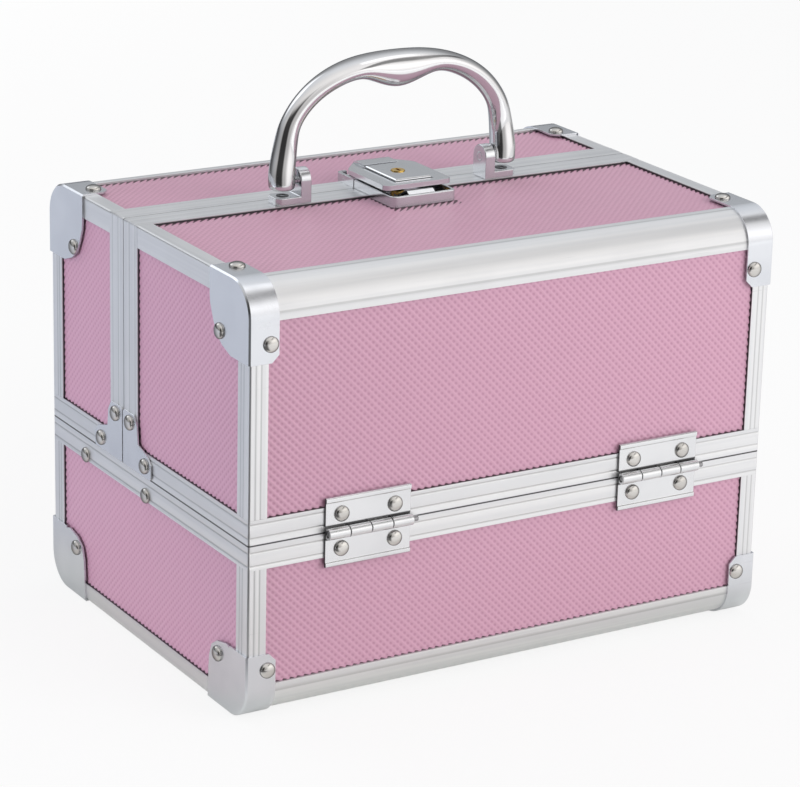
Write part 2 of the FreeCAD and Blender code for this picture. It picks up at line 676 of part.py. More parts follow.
def arm(pivot_y, tip_radius):
    """One arm at -X with the studs that carry the two trays."""
    pivot = arm_point(pivot_y, 0.0)
    tip = arm_point(pivot_y, tip_radius)
    plate = bar(-ARM_OUT, -ARM_IN, pivot, tip, ARM_WIDTH)
    plate = plate.cut(peg_hole("x", -ARM_OUT, pivot[0], pivot[1], PIVOT + PIVOT_PLAY, ARM))
    for radius in (LOWER_ARM_R, UPPER_ARM_R):
        y, z = arm_point(pivot_y, radius)
        plate = plate.fuse(peg("x", -ARM_IN, y, z, PIVOT, LAYER_GAP + TRAY_WALL))
    return plate


def rear_arm():
    y, z = arm_point(ARM_PIVOT_REAR_Y, LINK_ARM_R)
    stud = peg("x", -LINK_OUT, y, z, PIVOT, LINK_OUT - ARM_OUT)
    return arm(ARM_PIVOT_REAR_Y, UPPER_ARM_R).fuse(stud)


def link_ends():
    """Lid link's pivots: on the rear arm, and on the tray lid one arm radius from its hinge."""
    on_arm = arm_point(ARM_PIVOT_REAR_Y, LINK_ARM_R)
    on_lid = (HINGE_Y + LINK_ARM_R * LEAN_Y, PARTING_Z + LINK_ARM_R * LEAN_Z)
    return on_arm, on_lid


def lid_links():
    on_arm, on_lid = link_ends()
    link = bar(-LINK_OUT, -LINK_IN, on_arm, on_lid, LINK_WIDTH)
    for y, z in (on_arm, on_lid):
        link = link.cut(peg_hole("x", -LINK_OUT, y, z, PIVOT + PIVOT_PLAY, LINK))
    return group(both_ends(link))


def link_brackets():
    """Plates inside the tray lid's ends, riveted through the seam plates, each with a stud."""
    on_lid = link_ends()[1]
    low_y = SEAM_REAR + PLATE_RIVET_IN
    low_z = PARTING_Z + PLATE_RIVET_UP
    plate = bar(-HALF_X + D3, -HALF_X + D3 + BRACKET, (low_y, low_z), on_lid, BRACKET_WIDTH)
    stud = peg("x", -LINK_OUT - LAYER_GAP, on_lid[0], on_lid[1], PIVOT, LAYER_GAP + LINK)
    collar = peg("x", -LINK_OUT - LAYER_GAP, on_lid[0], on_lid[1], PIVOT + 1.4, LAYER_GAP - 0.1)
    return group(both_ends(plate.fuse(stud).fuse(collar)))


def tray(arm_radius, cross_walls, long_wall):
    """Moulded tray: rounded shell with dividers, studs' holes in its ends."""
    z0 = ARM_PIVOT_Z + arm_radius * LEAN_Z - TRAY_BELOW_PIVOT
    z1 = z0 + TRAY_HEIGHT
    r = TRAY_CORNER
    w = TRAY_WALL
    shell = prism("z", [(-TRAY_END, TRAY_FRONT_Y, r), (TRAY_END, TRAY_FRONT_Y, r),
                        (TRAY_END, TRAY_REAR_Y, r), (-TRAY_END, TRAY_REAR_Y, r)], z0, z1)
    hollow = prism("z", [(-TRAY_END + w, TRAY_FRONT_Y + w, r - w), (TRAY_END - w, TRAY_FRONT_Y + w, r - w),
                         (TRAY_END - w, TRAY_REAR_Y - w, r - w), (-TRAY_END + w, TRAY_REAR_Y - w, r - w)],
                   z0 + w, z1)
    body = shell.cut(hollow)
    wall_top = z1 - 3.0
    if long_wall is not None:
        body = body.fuse(box(-TRAY_END + w, TRAY_END - w, long_wall - DIVIDER / 2, long_wall + DIVIDER / 2,
                             z0 + w, wall_top))
    for x, y0, y1 in cross_walls:
        body = body.fuse(box(x - DIVIDER / 2, x + DIVIDER / 2, y0, y1, z0 + w, wall_top))
    for pivot_y in (ARM_PIVOT_FRONT_Y, ARM_PIVOT_REAR_Y):
        y, z = arm_point(pivot_y, arm_radius)
        body = body.cut(peg_hole("x", -TRAY_END, y, z, PIVOT + PIVOT_PLAY, 2 * TRAY_END))
    return body.removeSplitter()


# ---------------------------------------------------------------- handle
def arch_point(t):
    """Point on the arch's outer outline, its inward normal and the half thickness there."""
    power = 2.0 / ARCH_POWER
    cos, sin = math.cos(t), math.sin(t)
    x = HANDLE_HALF_WIDTH * math.copysign(abs(cos) ** power, cos)
    z = HANDLE_RISE * abs(sin) ** power
    nx = math.copysign(abs(x / HANDLE_HALF_WIDTH) ** (ARCH_POWER - 1), x) / HANDLE_HALF_WIDTH
    nz = abs(z / HANDLE_RISE) ** (ARCH_POWER - 1) / HANDLE_RISE
    size = math.hypot(nx, nz)
    return x, z, -nx / size, -nz / size


def half_thickness(x):
    reach = abs(x)
    if reach < GRIP_REACH:
        return WAIST + (GRIP - WAIST) * math.cos(math.pi * reach / GRIP_REACH / 2) ** 2
    share = (reach - GRIP_REACH) / (HANDLE_HALF_WIDTH - GRIP_REACH)
    return WAIST + (LEG_RADIUS - WAIST) * min(1.0, share * 1.15)


def arch_section(x, z, nx, nz, half):
    """Section of the arch, across its run."""
    centre = V(x + nx * half, HANDLE_Y, PIVOT_Z + z + nz * half)
    share = max(0.0, z / HANDLE_RISE) ** 3
    depth = LEG_RADIUS + (GRIP_HALF_DEPTH - LEG_RADIUS) * share
    return ring(centre, AXES["y"], V(nx, 0, nz), depth, half, ARCH_SIDES)


def leg_sections(side):
    """Rounded foot of a leg round the pivot, from its end up to the arch."""
    rings = []
    for z, share in ((-1.0, 0.3), (-0.8, 0.6), (-0.35, 0.93), (0.0, 1.0), (LEG_STRAIGHT, 1.0)):
        centre = V(side * LEG_X, HANDLE_Y, PIVOT_Z + z * LEG_RADIUS)
        depth = LEG_RADIUS * share
        half = LEG_RADIUS * (0.4 + 0.6 * share)
        rings.append(ring(centre, AXES["y"], V(-side, 0, 0), depth, half, ARCH_SIDES))
    return rings


def handle():
    """Arch with a finger grip, on two round legs bored for the pivot pins."""
    sections = leg_sections(1)
    for i in range(2, ARCH_STEPS - 1):
        x, z, nx, nz = arch_point(math.pi * i / ARCH_STEPS)
        sections.append(arch_section(x, z, nx, nz, half_thickness(x)))
    sections.extend(reversed(leg_sections(-1)))
    arch = faceted_loft(sections)
    for start in (-LEG_X, POST_OUT):
        arch = arch.cut(peg_hole("x", start, HANDLE_Y, PIVOT_Z, HANDLE_PIN + PIVOT_PLAY, LEG_X - POST_OUT))
    return arch


def handle_bracket():
    """L bracket at -X: an arched post inside the handle's leg, and a foot below the leg."""
    r = POST_HALF_DEPTH
    arch = [(HANDLE_Y + r * math.cos(turn), PIVOT_Z + r * math.sin(turn))
            for turn in (math.pi * i / POST_FLATS for i in range(POST_FLATS + 1))]
    post = prism("x", [(HANDLE_Y - r, TOP), (HANDLE_Y + r, TOP)] + arch, -POST_OUT, -POST_IN)
    x_end = -POST_OUT - FOOT_LENGTH
    foot = prism("z", [(-POST_OUT, HANDLE_Y - r), (x_end + 2.0, HANDLE_Y - r), (x_end, HANDLE_Y - r + 2.0),
                       (x_end, HANDLE_Y + r - 2.0), (x_end + 2.0, HANDLE_Y + r), (-POST_OUT, HANDLE_Y + r)],
                 TOP, TOP + FOOT)
    body = post.fuse(foot)
    return body.cut(peg("x", -POST_OUT, HANDLE_Y, PIVOT_Z, HANDLE_PIN, POST)).removeSplitter()


# ---------------------------------------------------------------- latch
def latch_frame():
    """Catch box on the mirror lid: open on top, its front seated lower on the board."""
    y1 = SEAM_FRONT
    low = TOP - D1
    w = FRAME_WALL
    r = 2.5
    half = LATCH_HALF
    corners = [(-half, FRAME_FRONT_Y, r), (half, FRAME_FRONT_Y, r), (half, y1), (-half, y1)]
    outer = prism("z", corners, low, FRAME_Z)
    outer = outer.cut(box(-half, half, SEAM_FRONT - SEAM_STRIP, y1, low, TOP))
    hollow = prism("z", [(-half + w, FRAME_FRONT_Y + w, 1.0), (half - w, FRAME_FRONT_Y + w, 1.0),
                         (half - w, y1), (-half + w, y1)], TOP + FRAME_FLOOR, FRAME_Z)
    frame = outer.cut(hollow)
    lip = box(-half + w, -half + w + CATCH_LIP, KEY_Y - 4.0, KEY_Y + 4.0, FRAME_Z - 0.9, FRAME_Z)
    return frame.fuse(lip).removeSplitter()


def latch_spring():
    """Leaf spring in the catch box that kicks the flap up."""
    z = TOP + FRAME_FLOOR
    front = FRAME_FRONT_Y + FRAME_WALL + 0.8
    crest = FLAP_Z - 0.4
    s = SPRING
    corners = [(2.0, z), (-1.0, z), (front + 2.5, crest - s, 1.0), (front, crest - 1.6 - s),
               (front, crest - 1.6), (front + 2.5, crest, 1.5), (-0.8, z + s), (2.0, z + s)]
    return prism("x", corners, -SPRING_HALF, SPRING_HALF)


def latch_pan():
    """Hinge pan of the flap on the tray lid."""
    y0 = SEAM_REAR
    half = LATCH_HALF
    w = FRAME_WALL
    r = 2.5
    corners = [(-half, y0), (half, y0), (half, PAN_REAR_Y, r), (-half, PAN_REAR_Y, r)]
    outer = prism("z", corners, TOP - D1, FRAME_Z)
    outer = outer.cut(box(-half, half, y0, SEAM_REAR + SEAM_STRIP, TOP - D1, TOP))
    hollow = prism("z", [(-half + w, y0), (half - w, y0), (half - w, PAN_REAR_Y - w, 1.0),
                         (-half + w, PAN_REAR_Y - w, 1.0)], TOP + FRAME_FLOOR, FRAME_Z)
    notch = box(-PAN_NOTCH_HALF, PAN_NOTCH_HALF, FLAP_PIVOT_Y, PAN_REAR_Y, TOP + FRAME_FLOOR, FRAME_Z)
    pan = outer.cut(hollow).cut(notch)
    return pan.cut(peg("x", -half, FLAP_PIVOT_Y, FLAP_PIVOT_Z, LATCH_PIN, 2 * half))


def latch_flap():
    """Flap with a wide finger end, wings that narrow to the tail, and a raised block on the tail."""
    rear = FLAP_PIVOT_Y + TAIL_REACH
    wing_end = FLAP_PIVOT_Y - WING_BACK
    side = [(FLAP_HALF, FLAP_FRONT_Y, 3.0), (FLAP_HALF, wing_end, WING_CORNER), (TAIL_HALF, rear, 1.0)]
    corners = side + [(-a, b, r) for a, b, r in reversed(side)]
    plate = prism("z", corners, FLAP_Z, FLAP_Z + FLAP)
    plate = plate.fuse(tail_block(rear)).fuse(flap_barrel())
    bore = LATCH_PIN + PIVOT_PLAY
    plate = plate.cut(peg_hole("x", -TAIL_HALF, FLAP_PIVOT_Y, FLAP_PIVOT_Z, bore, 2 * TAIL_HALF))
    plate = plate.cut(peg_hole("z", 0, KEY_Y, FLAP_Z, KEY_RADIUS + PIVOT_PLAY, FLAP))
    return plate.removeSplitter()


def tail_block(rear):
    """Raised block on the tail, in line with the key plate and as high."""
    front = KEY_Y + KEY_PLATE_LENGTH / 2 + KEY_GAP
    top = FLAP_Z + FLAP + KEY_PLATE
    corners = [(front, FLAP_Z), (front, top), (rear - 1.0, top, 2.0), (rear, FLAP_Z + FLAP), (rear, FLAP_Z)]
    return prism("x", corners, -TAIL_HALF, TAIL_HALF)


def flap_barrel():
    """Hinge barrel below the tail and the web that carries it."""
    barrel = peg("x", -TAIL_HALF, FLAP_PIVOT_Y, FLAP_PIVOT_Z, BARREL_RADIUS, 2 * TAIL_HALF)
    half = BARREL_RADIUS * 0.8
    web = box(-TAIL_HALF, TAIL_HALF, FLAP_PIVOT_Y - half, FLAP_PIVOT_Y + half, FLAP_PIVOT_Z, FLAP_Z + FLAP)
    return barrel.fuse(web)


def key_plate():
    y0 = KEY_Y - KEY_PLATE_LENGTH / 2
    y1 = KEY_Y + KEY_PLATE_LENGTH / 2
    h = KEY_PLATE_HALF
    z = FLAP_Z + FLAP
    plate = box(-h, h, y0, y1, z, z + KEY_PLATE)
    top = [e for e in plate.Edges if e.BoundBox.ZMin > z + KEY_PLATE - 1e-6]
    plate = plate.makeChamfer(0.45, top)
    return plate.cut(peg_hole("z", 0, KEY_Y, z, KEY_RADIUS + PIVOT_PLAY, KEY_PLATE))


def key_barrel():
    """Lock barrel with its keyway, and the cam that turns under the catch lip."""
    top = FLAP_Z + FLAP + KEY_PLATE + 0.4
    low = TOP + FRAME_FLOOR + 0.4
    barrel = peg("z", 0, KEY_Y, low, KEY_RADIUS, top - low)
    key_slot = box(-0.6, 0.6, KEY_Y - 1.9, KEY_Y + 1.9, top - 1.5, top)
    cam = prism("z", [(-1.2, KEY_Y + CAM_LENGTH), (-2.0, KEY_Y), (2.0, KEY_Y), (1.2, KEY_Y + CAM_LENGTH)],
                low, low + CAM)
    return barrel.cut(key_slot).fuse(cam)


# ---------------------------------------------------------------- mirror
def mirror_outline(inset):
    """Rounded outline of the glass, or of a sheet inset from it."""
    y0 = MIRROR_FRONT_Y + inset
    y1 = MIRROR_REAR_Y - inset
    h = MIRROR_HALF_LENGTH - inset
    return [(-h, y0, 5.0), (h, y0, 5.0), (h, y1, 5.0), (-h, y1, 5.0)]


def mirror():
    z1 = TOP - D3 - MIRROR_BACK
    return prism("z", mirror_outline(0.0), z1 - MIRROR, z1)


def mirror_backing():
    z1 = TOP - D3
    return prism("z", mirror_outline(3.0), z1 - MIRROR_BACK, z1)


def mirror_clip(x, edge_y, inward):
    """Sheet clip under the lid, hooked round an edge of the mirror; inward is its sign along Y."""
    z = TOP - D3
    low = z - MIRROR_BACK - MIRROR
    c = CLIP
    foot = edge_y - inward * CLIP_FOOT
    hook = edge_y + inward * CLIP_LIP
    corners = [(foot, z), (foot, z - c), (edge_y - inward * c, z - c), (edge_y - inward * c, low - c),
               (hook, low - c), (hook, low), (edge_y, low), (edge_y, z)]
    return prism("x", corners, x - CLIP_HALF, x + CLIP_HALF)


def mirror_clips():
    clips = []
    for x in (-CLIP_X, CLIP_X):
        clips.append(mirror_clip(x, MIRROR_FRONT_Y, 1))
        clips.append(mirror_clip(x, MIRROR_REAR_Y, -1))
    return clips


# ---------------------------------------------------------------- assembly
def build():
    nodes = base()
    mirror_lid = lid(SEAM_FRONT)
    tray_lid = lid(-SEAM_REAR)
    for name, shape in mirror_lid.items():
        nodes["mirror_lid_" + name] = shape
    for name, shape in tray_lid.items():
        nodes["tray_lid_" + name] = flip_y(shape)
    brackets = both_ends(handle_bracket())
    pins = peg("x", -LEG_X, HANDLE_Y, PIVOT_Z, HANDLE_PIN, LEG_X - POST_IN)
    nodes["handle"] = handle()
    nodes["handle_brackets"] = group(brackets)
    nodes["handle_pins"] = group(both_ends(pins))
    nodes["latch_frame"] = latch_frame()
    nodes["latch_spring"] = latch_spring()
    nodes["latch_pan"] = latch_pan()
    nodes["latch_pin"] = peg("x", -LATCH_HALF, FLAP_PIVOT_Y, FLAP_PIVOT_Z, LATCH_PIN, 2 * LATCH_HALF)
    nodes["latch_flap"] = latch_flap()
    nodes["key_plate"] = key_plate()
    nodes["key_barrel"] = key_barrel()
    nodes["mirror"] = mirror()
    nodes["mirror_backing"] = mirror_backing()
    nodes["mirror_clips"] = group(mirror_clips())
    nodes["front_tray_arms"] = group(both_ends(arm(ARM_PIVOT_FRONT_Y, UPPER_ARM_R)))
    nodes["rear_tray_arms"] = group(both_ends(rear_arm()))
    nodes["lid_links"] = lid_links()
    nodes["link_brackets"] = link_brackets()
    middle_y = (TRAY_FRONT_Y + TRAY_REAR_Y) / 2
    nodes["lower_tray"] = tray(LOWER_ARM_R, [(0.0, TRAY_FRONT_Y + TRAY_WALL, TRAY_REAR_Y - TRAY_WALL)], None)
    third = (TRAY_END - TRAY_WALL) / 3
    nodes["upper_tray"] = tray(UPPER_ARM_R, [(-third, middle_y, TRAY_REAR_Y - TRAY_WALL),
                                             (third, middle_y, TRAY_REAR_Y - TRAY_WALL)], middle_y)
    return nodes


os.makedirs("parts", exist_ok=True)
for name, shape in build().items():
    shape.exportStep("parts/" + name + ".step")
    print(name, len(shape.Solids), round(shape.Volume, 1), shape.isValid())
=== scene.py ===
# %% [markdown]
# # A make-up train case, dressed in Blender
# The case arrives as a frame of plain solids: boards, aluminium profiles, steel corners, hinges, a
# latch, a handle, trays and a mirror.  This lesson dresses that frame.  Flat boards keep their
# solids and get a finish; bent, cast and rolled pieces are modelled again with rounder forms.
# Lengths on the case are written in millimetres and turned into metres by MM, because Blender works
# in metres and a maker's drawing does not.

# %% Load the frame
import math

import bmesh
import bpy
from mathutils import Matrix, Vector


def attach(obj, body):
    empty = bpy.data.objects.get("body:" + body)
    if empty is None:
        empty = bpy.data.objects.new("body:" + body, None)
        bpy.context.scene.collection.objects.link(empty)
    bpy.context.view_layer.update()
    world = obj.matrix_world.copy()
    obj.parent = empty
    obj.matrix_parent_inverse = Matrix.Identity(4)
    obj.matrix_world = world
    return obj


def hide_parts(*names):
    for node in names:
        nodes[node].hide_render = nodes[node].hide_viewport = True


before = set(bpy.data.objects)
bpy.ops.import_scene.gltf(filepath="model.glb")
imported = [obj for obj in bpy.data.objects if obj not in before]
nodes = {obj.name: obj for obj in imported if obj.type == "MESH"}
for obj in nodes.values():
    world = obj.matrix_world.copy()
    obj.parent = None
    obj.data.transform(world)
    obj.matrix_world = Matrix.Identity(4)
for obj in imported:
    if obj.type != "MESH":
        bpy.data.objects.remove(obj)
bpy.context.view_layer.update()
MM = 0.001

# %% Sizes of the case that several pieces share
HALF_X, HALF_Y, TOP = 120.0, 86.5, 176.2  # the case without its steel
PARTING = 73.6  # height of the line between base and lids
SHEET, LEAF = 0.8, 1.0  # thickness of protectors and of hinge leaves
HINGE_X, PIN_Y = 68.0, 88.9  # a hinge's middle and its pin's distance
HANDLE_Y, PIVOT_Z = 12.5, 185.2  # the line of the handle's pivots
LIDS = ("mirror_lid", "tray_lid")
print("case:", 2 * HALF_X, "by", 2 * HALF_Y, "by", TOP)


# %% [markdown]
# ## The camera
# A product is best seen by a long lens from far away, so that upright edges stay almost parallel.
# The camera stands at the front left, looks down about 19 degrees and is rolled a little.  Its
# three axes are worked out from these angles, which is easier to read than a rotation by numbers.

# %% Camera
YAW, PITCH, ROLL = math.radians(31.274), math.radians(18.549), math.radians(1.427)
CAMERA_SPOT = (-0.66566, -1.09262, 0.52008)
LENS = 145.77

ahead = Vector((math.sin(YAW) * math.cos(PITCH), math.cos(YAW) * math.cos(PITCH), -math.sin(PITCH)))
level = Vector((math.cos(YAW), -math.sin(YAW), 0.0))
rising = level.cross(ahead)
across = level * math.cos(ROLL) + rising * math.sin(ROLL)
upward = rising * math.cos(ROLL) - level * math.sin(ROLL)
turn = Matrix((across, upward, -ahead)).transposed()
bpy.ops.object.camera_add(location=CAMERA_SPOT, rotation=turn.to_euler())
camera = bpy.context.active_object
camera.data.sensor_width = 36.0
camera.data.lens = LENS
camera.data.clip_end = 20.0
bpy.context.scene.camera = camera
print("camera stands at", tuple(round(c, 3) for c in camera.location))


# %% [markdown]
# ## Small helpers for modelling by hand
# In edit mode an operator works on everything that is selected.  So each step first deselects, and
# then picks its faces or edges by where they are or which way they face.  These helpers do that
# picking, and they finish a piece: its place goes into the mesh and its object stays at the origin.

# %% Picking and shaping
def lone(piece):
    """Make one piece the only selected and the active one."""
    bpy.ops.object.select_all(action="DESELECT")
    piece.select_set(True)
    bpy.context.view_layer.objects.active = piece


def edit(piece):
    """Open one piece in edit mode."""
    lone(piece)
    bpy.ops.object.mode_set(mode="EDIT")


def done():
    bpy.ops.object.mode_set(mode="OBJECT")


def pick(kind, test):
    """Select only the faces, edges or corners that pass a test."""
    bpy.ops.mesh.select_mode(type=kind)
    bpy.ops.mesh.select_all(action="DESELECT")
    mesh = bmesh.from_edit_mesh(bpy.context.edit_object.data)
    items = {"FACE": mesh.faces, "EDGE": mesh.edges, "VERT": mesh.verts}[kind]
    for item in [item for item in items if test(item)]:
        item.select_set(True)
    mesh.select_flush_mode()
    bmesh.update_edit_mesh(bpy.context.edit_object.data)


def whole():
    """Select all of the piece."""
    bpy.ops.mesh.select_all(action="SELECT")


def extruded(x, y, z):
    """Extrude the selection by a step."""
    bpy.ops.mesh.extrude_region_move(TRANSFORM_OT_translate={"value": (x, y, z)})


def middle(item):
    """Middle of a face or an edge."""
    spots = [corner.co for corner in item.verts]
    return sum(spots, Vector()) / len(spots)


def newest(name):
    """The piece that the last primitive made, under its own name."""
    piece = bpy.context.active_object
    piece.name = name
    piece.data.name = name
    return piece


# %% Modifiers, smoothing and copies
def applied(piece, kind, **settings):
    """Add a modifier, set it and apply it."""
    lone(piece)
    modifier = piece.modifiers.new(kind.title(), kind)
    for key, value in settings.items():
        setattr(modifier, key, value)
    bpy.ops.object.modifier_apply(modifier=modifier.name)


def rounded(piece, width, segments=2, angle=30.0):
    """Round the sharp edges and smooth them; whole faces keep a flat shade."""
    applied(piece, "BEVEL", width=width * MM, segments=segments, limit_method="ANGLE",
            angle_limit=math.radians(angle), use_clamp_overlap=True)
    smoothed(piece, angle)
    applied(piece, "WEIGHTED_NORMAL", keep_sharp=True)


def smoothed(piece, angle):
    """Smooth the shading of a piece up to an angle."""
    lone(piece)
    bpy.ops.object.shade_smooth_by_angle(angle=math.radians(angle))


def settled(piece):
    """Put the piece's place, turn and scale into its mesh."""
    lone(piece)
    bpy.ops.object.transform_apply(location=True, rotation=True, scale=True)


def copied(piece, name, change=None):
    """A copy with its own mesh, moved or mirrored by a matrix."""
    twin = bpy.data.objects.new(name, piece.data.copy())
    twin.data.name = name
    bpy.context.scene.collection.objects.link(twin)
    if change is not None:
        twin.data.transform(change)
        if change.to_3x3().determinant() < 0:
            facing_out(twin)
    return twin


def facing_out(piece):
    """Turn all faces of a closed piece outwards."""
    edit(piece)
    whole()
    bpy.ops.mesh.normals_make_consistent(inside=False)
    done()


def joined(pieces, name):
    """Several pieces as one object."""
    lone(pieces[0])
    for piece in pieces:
        piece.select_set(True)
    bpy.ops.object.join()
    return newest(name)


def faced(piece, finish):
    """Give a piece one finish."""
    piece.data.materials.clear()
    piece.data.materials.append(finish)


def fitted(piece, body, finish, slot, *stands_for):
    """Give a finished piece its material, its body and the solids that it stands for."""
    settled(piece)
    faced(piece, finish)
    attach(piece, body)
    if stands_for:
        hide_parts(*stands_for)
    print(piece.name, "rides on", body, "with", len(piece.data.polygons), "faces")


MIRROR_Y = Matrix.Scale(-1, 4, (0, 1, 0))
print("helpers ready")


# %% [markdown]
# ## Little tools for nodes
# Light and finishes are worked out by nodes, and each node does one small sum.  These helpers make
# a node, set or link its inputs and hand back its output, so a formula reads as short calls.

# %% Sums
def feed(tree, node, socket, value):
    """Set an input of a node, or link another node's output to it.  A colour is opaque."""
    entry = node.inputs[socket]
    if isinstance(value, bpy.types.NodeSocket):
        tree.links.new(value, entry)
    else:
        entry.default_value = (*value, 1.0) if entry.type == "RGBA" else value


def made(tree, kind, **inputs):
    """A new shader node with some of its inputs set or linked."""
    node = tree.nodes.new("ShaderNode" + kind)
    for socket, value in inputs.items():
        feed(tree, node, socket, value)
    return node


def calc(tree, operation, *values):
    """A maths node and its result."""
    node = made(tree, "Math")
    node.operation = operation
    for i, value in enumerate(values):
        feed(tree, node, i, value)
    return node.outputs[0]


def minus(tree, first, second):
    """First minus second."""
    return calc(tree, "SUBTRACT", first, second)


def linear(tree, value, slope, start):
    """A value times a slope, plus a start."""
    return calc(tree, "MULTIPLY_ADD", value, slope, start)


def times(tree, product, *values):
    """The product of a row of values."""
    for value in values:
        product = calc(tree, "MULTIPLY", product, value)
    return product


def extreme(tree, operation, found, *values):
    """The MAXIMUM or MINIMUM of a row of values."""
    for value in values:
        found = calc(tree, operation, found, value)
    return found


def off(tree, value, middle):
    """How far a value lies from a middle, on either side."""
    return calc(tree, "ABSOLUTE", minus(tree, value, middle))


print("sums ready")


# %% Ranges, colours, noise and places
def spread(tree, value, low, high, out_low=0.0, out_high=1.0):
    """Map one range of values smoothly onto another."""
    node = made(tree, "MapRange")
    node.interpolation_type = "SMOOTHSTEP"
    for i, number in enumerate((value, low, high, out_low, out_high)):
        feed(tree, node, i, number)
    return node.outputs[0]


def fade(tree, value, low, high):
    """One below a range of values and zero above it."""
    return spread(tree, value, low, high, 1.0, 0.0)


def blend(tree, share, first, second):
    """Mix two colours by a share."""
    node = made(tree, "Mix")
    node.data_type = "RGBA"
    feed(tree, node, 0, share)
    feed(tree, node, 6, first)
    feed(tree, node, 7, second)
    return node.outputs[2]


def grain(tree, vector, scale, detail=2.0, roughness=0.5):
    """A noise node's value."""
    return made(tree, "TexNoise", Vector=vector, Scale=scale, Detail=detail,
                Roughness=roughness).outputs["Fac"]


def placed(tree, vector, location=(0, 0, 0), rotation=(0, 0, 0), scale=(1, 1, 1)):
    """Coordinates that are moved, turned and stretched by a Mapping node."""
    return made(tree, "Mapping", Vector=vector, Location=location, Rotation=rotation,
                Scale=scale).outputs[0]


def split(tree, vector):
    """The X, Y and Z of a direction or a place."""
    return tuple(made(tree, "SeparateXYZ", Vector=vector).outputs)


def mixed(tree, share, first, second):
    """Mix two shaders by a share."""
    node = made(tree, "MixShader")
    for i, value in enumerate((share, first.outputs[0], second.outputs[0])):
        feed(tree, node, i, value)
    return node.outputs[0]


print("node tools ready")


# %% [markdown]
# ## The studio
# The case stands on pale paper in a white room.  Bright metal looks like metal only if it has both
# light and dark things to mirror, so the room's light has soft shapes in it: a dark screen beside
# the camera, a bright window in front, a rim of light behind, and overhead a dark beam and a bright
# tube.  Lamps add direct light and no piece mirrors them.  The room is white for the camera's rays
# alone, which adds no light to the case.  The paper looks evenly pale to the camera; for other rays
# its colour holds painted shade, and in front it has a painted glow that only the metal mirrors.

# %% Headings in the room
SCREEN, WINDOW, RIM = -143, -48, 112


def heading_off(tree, x, y, degrees):
    """How far the heading of a direction or a place lies from a given one."""
    return off(tree, calc(tree, "ARCTAN2", y, x), math.radians(degrees))


def dark_screen(tree, x, y):
    """Shade of the dark screen beside the camera."""
    return spread(tree, heading_off(tree, x, y, SCREEN), math.radians(20), math.radians(36),
                  0.08, 1.0)


print("headings:", SCREEN, WINDOW, RIM)


# %% Room light and background
ROOM_WHITE = (0.956, 0.956, 0.956)

world = bpy.data.worlds.new("white_room")
bpy.context.scene.world = world
world.use_nodes = True
tree = world.node_tree
tree.nodes.clear()
leave = made(tree, "OutputWorld")
x, y, z = split(tree, made(tree, "TexCoord").outputs["Generated"])

front = spread(tree, y, -0.75, 0.5, 1.05, 0.85)
side = spread(tree, x, -0.9, 0.6, 0.8, 1.0)
height = spread(tree, z, -0.12, 0.95, 0.46, 1.0)
screen = calc(tree, "MAXIMUM", dark_screen(tree, x, y), spread(tree, z, 0.45, 0.75))
window = times(tree, spread(tree, heading_off(tree, x, y, WINDOW),
                            math.radians(18), math.radians(50), 1.1, 0.0),
               fade(tree, off(tree, z, 0.12), 0.08, 0.58))
rim = times(tree, spread(tree, heading_off(tree, x, y, RIM), 0.2, 0.5, 1.6, 0.0),
            fade(tree, off(tree, z, 0.55), 0.1, 0.25))
shapes = calc(tree, "ADD", calc(tree, "ADD", screen, window), rim)

overhead = spread(tree, z, 0.42, 0.55)
slant = linear(tree, x, -2.0, calc(tree, "ADD", y, 1.38))
beam = spread(tree, calc(tree, "ABSOLUTE", slant), 0.1, 0.24, 0.72, 0.0)
tube = times(tree, spread(tree, calc(tree, "ABSOLUTE", y), 0.08, 0.2, 0.45, 0.0),
             fade(tree, off(tree, x, 0.38), 0.12, 0.18))
above = calc(tree, "ADD", 1.0, times(tree, overhead, minus(tree, tube, beam)))
low = fade(tree, calc(tree, "ABSOLUTE", z), 0.12, 0.31)
skyline = linear(tree, times(tree, low, spread(tree, y, 0.3, 0.8)), -0.6, 1.0)

warmth = blend(tree, spread(tree, y, -0.3, 0.6), (1.0, 0.985, 0.975), (0.96, 0.99, 1.03))
lit = made(tree, "Background", Color=warmth,
           Strength=times(tree, front, side, height, shapes, above, skyline))
seen = made(tree, "Background", Color=ROOM_WHITE)
by_camera = made(tree, "LightPath").outputs["Is Camera Ray"]
feed(tree, leave, "Surface", mixed(tree, by_camera, lit, seen))
bpy.context.scene.view_settings.view_transform = "Standard"
print("room light ready")


# %% Floor
# Painted shade on the paper for all rays but the camera's: darker and bluer behind the case, darker
# and greener near it, and a painted shadow of the dark screen.  The camera sees it evenly pale.
PAPER_FRONT, PAPER_PAINTED_BEHIND_SHADE = (0.94, 0.94, 0.94), (0.64, 0.67, 0.73)
PAPER_PAINTED_SCREEN_SHADOW, PAPER_PAINTED_NEAR_SHADE = (0.05, 0.05, 0.05), (0.76, 0.77, 0.735)
PAPER_SEEN = (0.86, 0.86, 0.86)

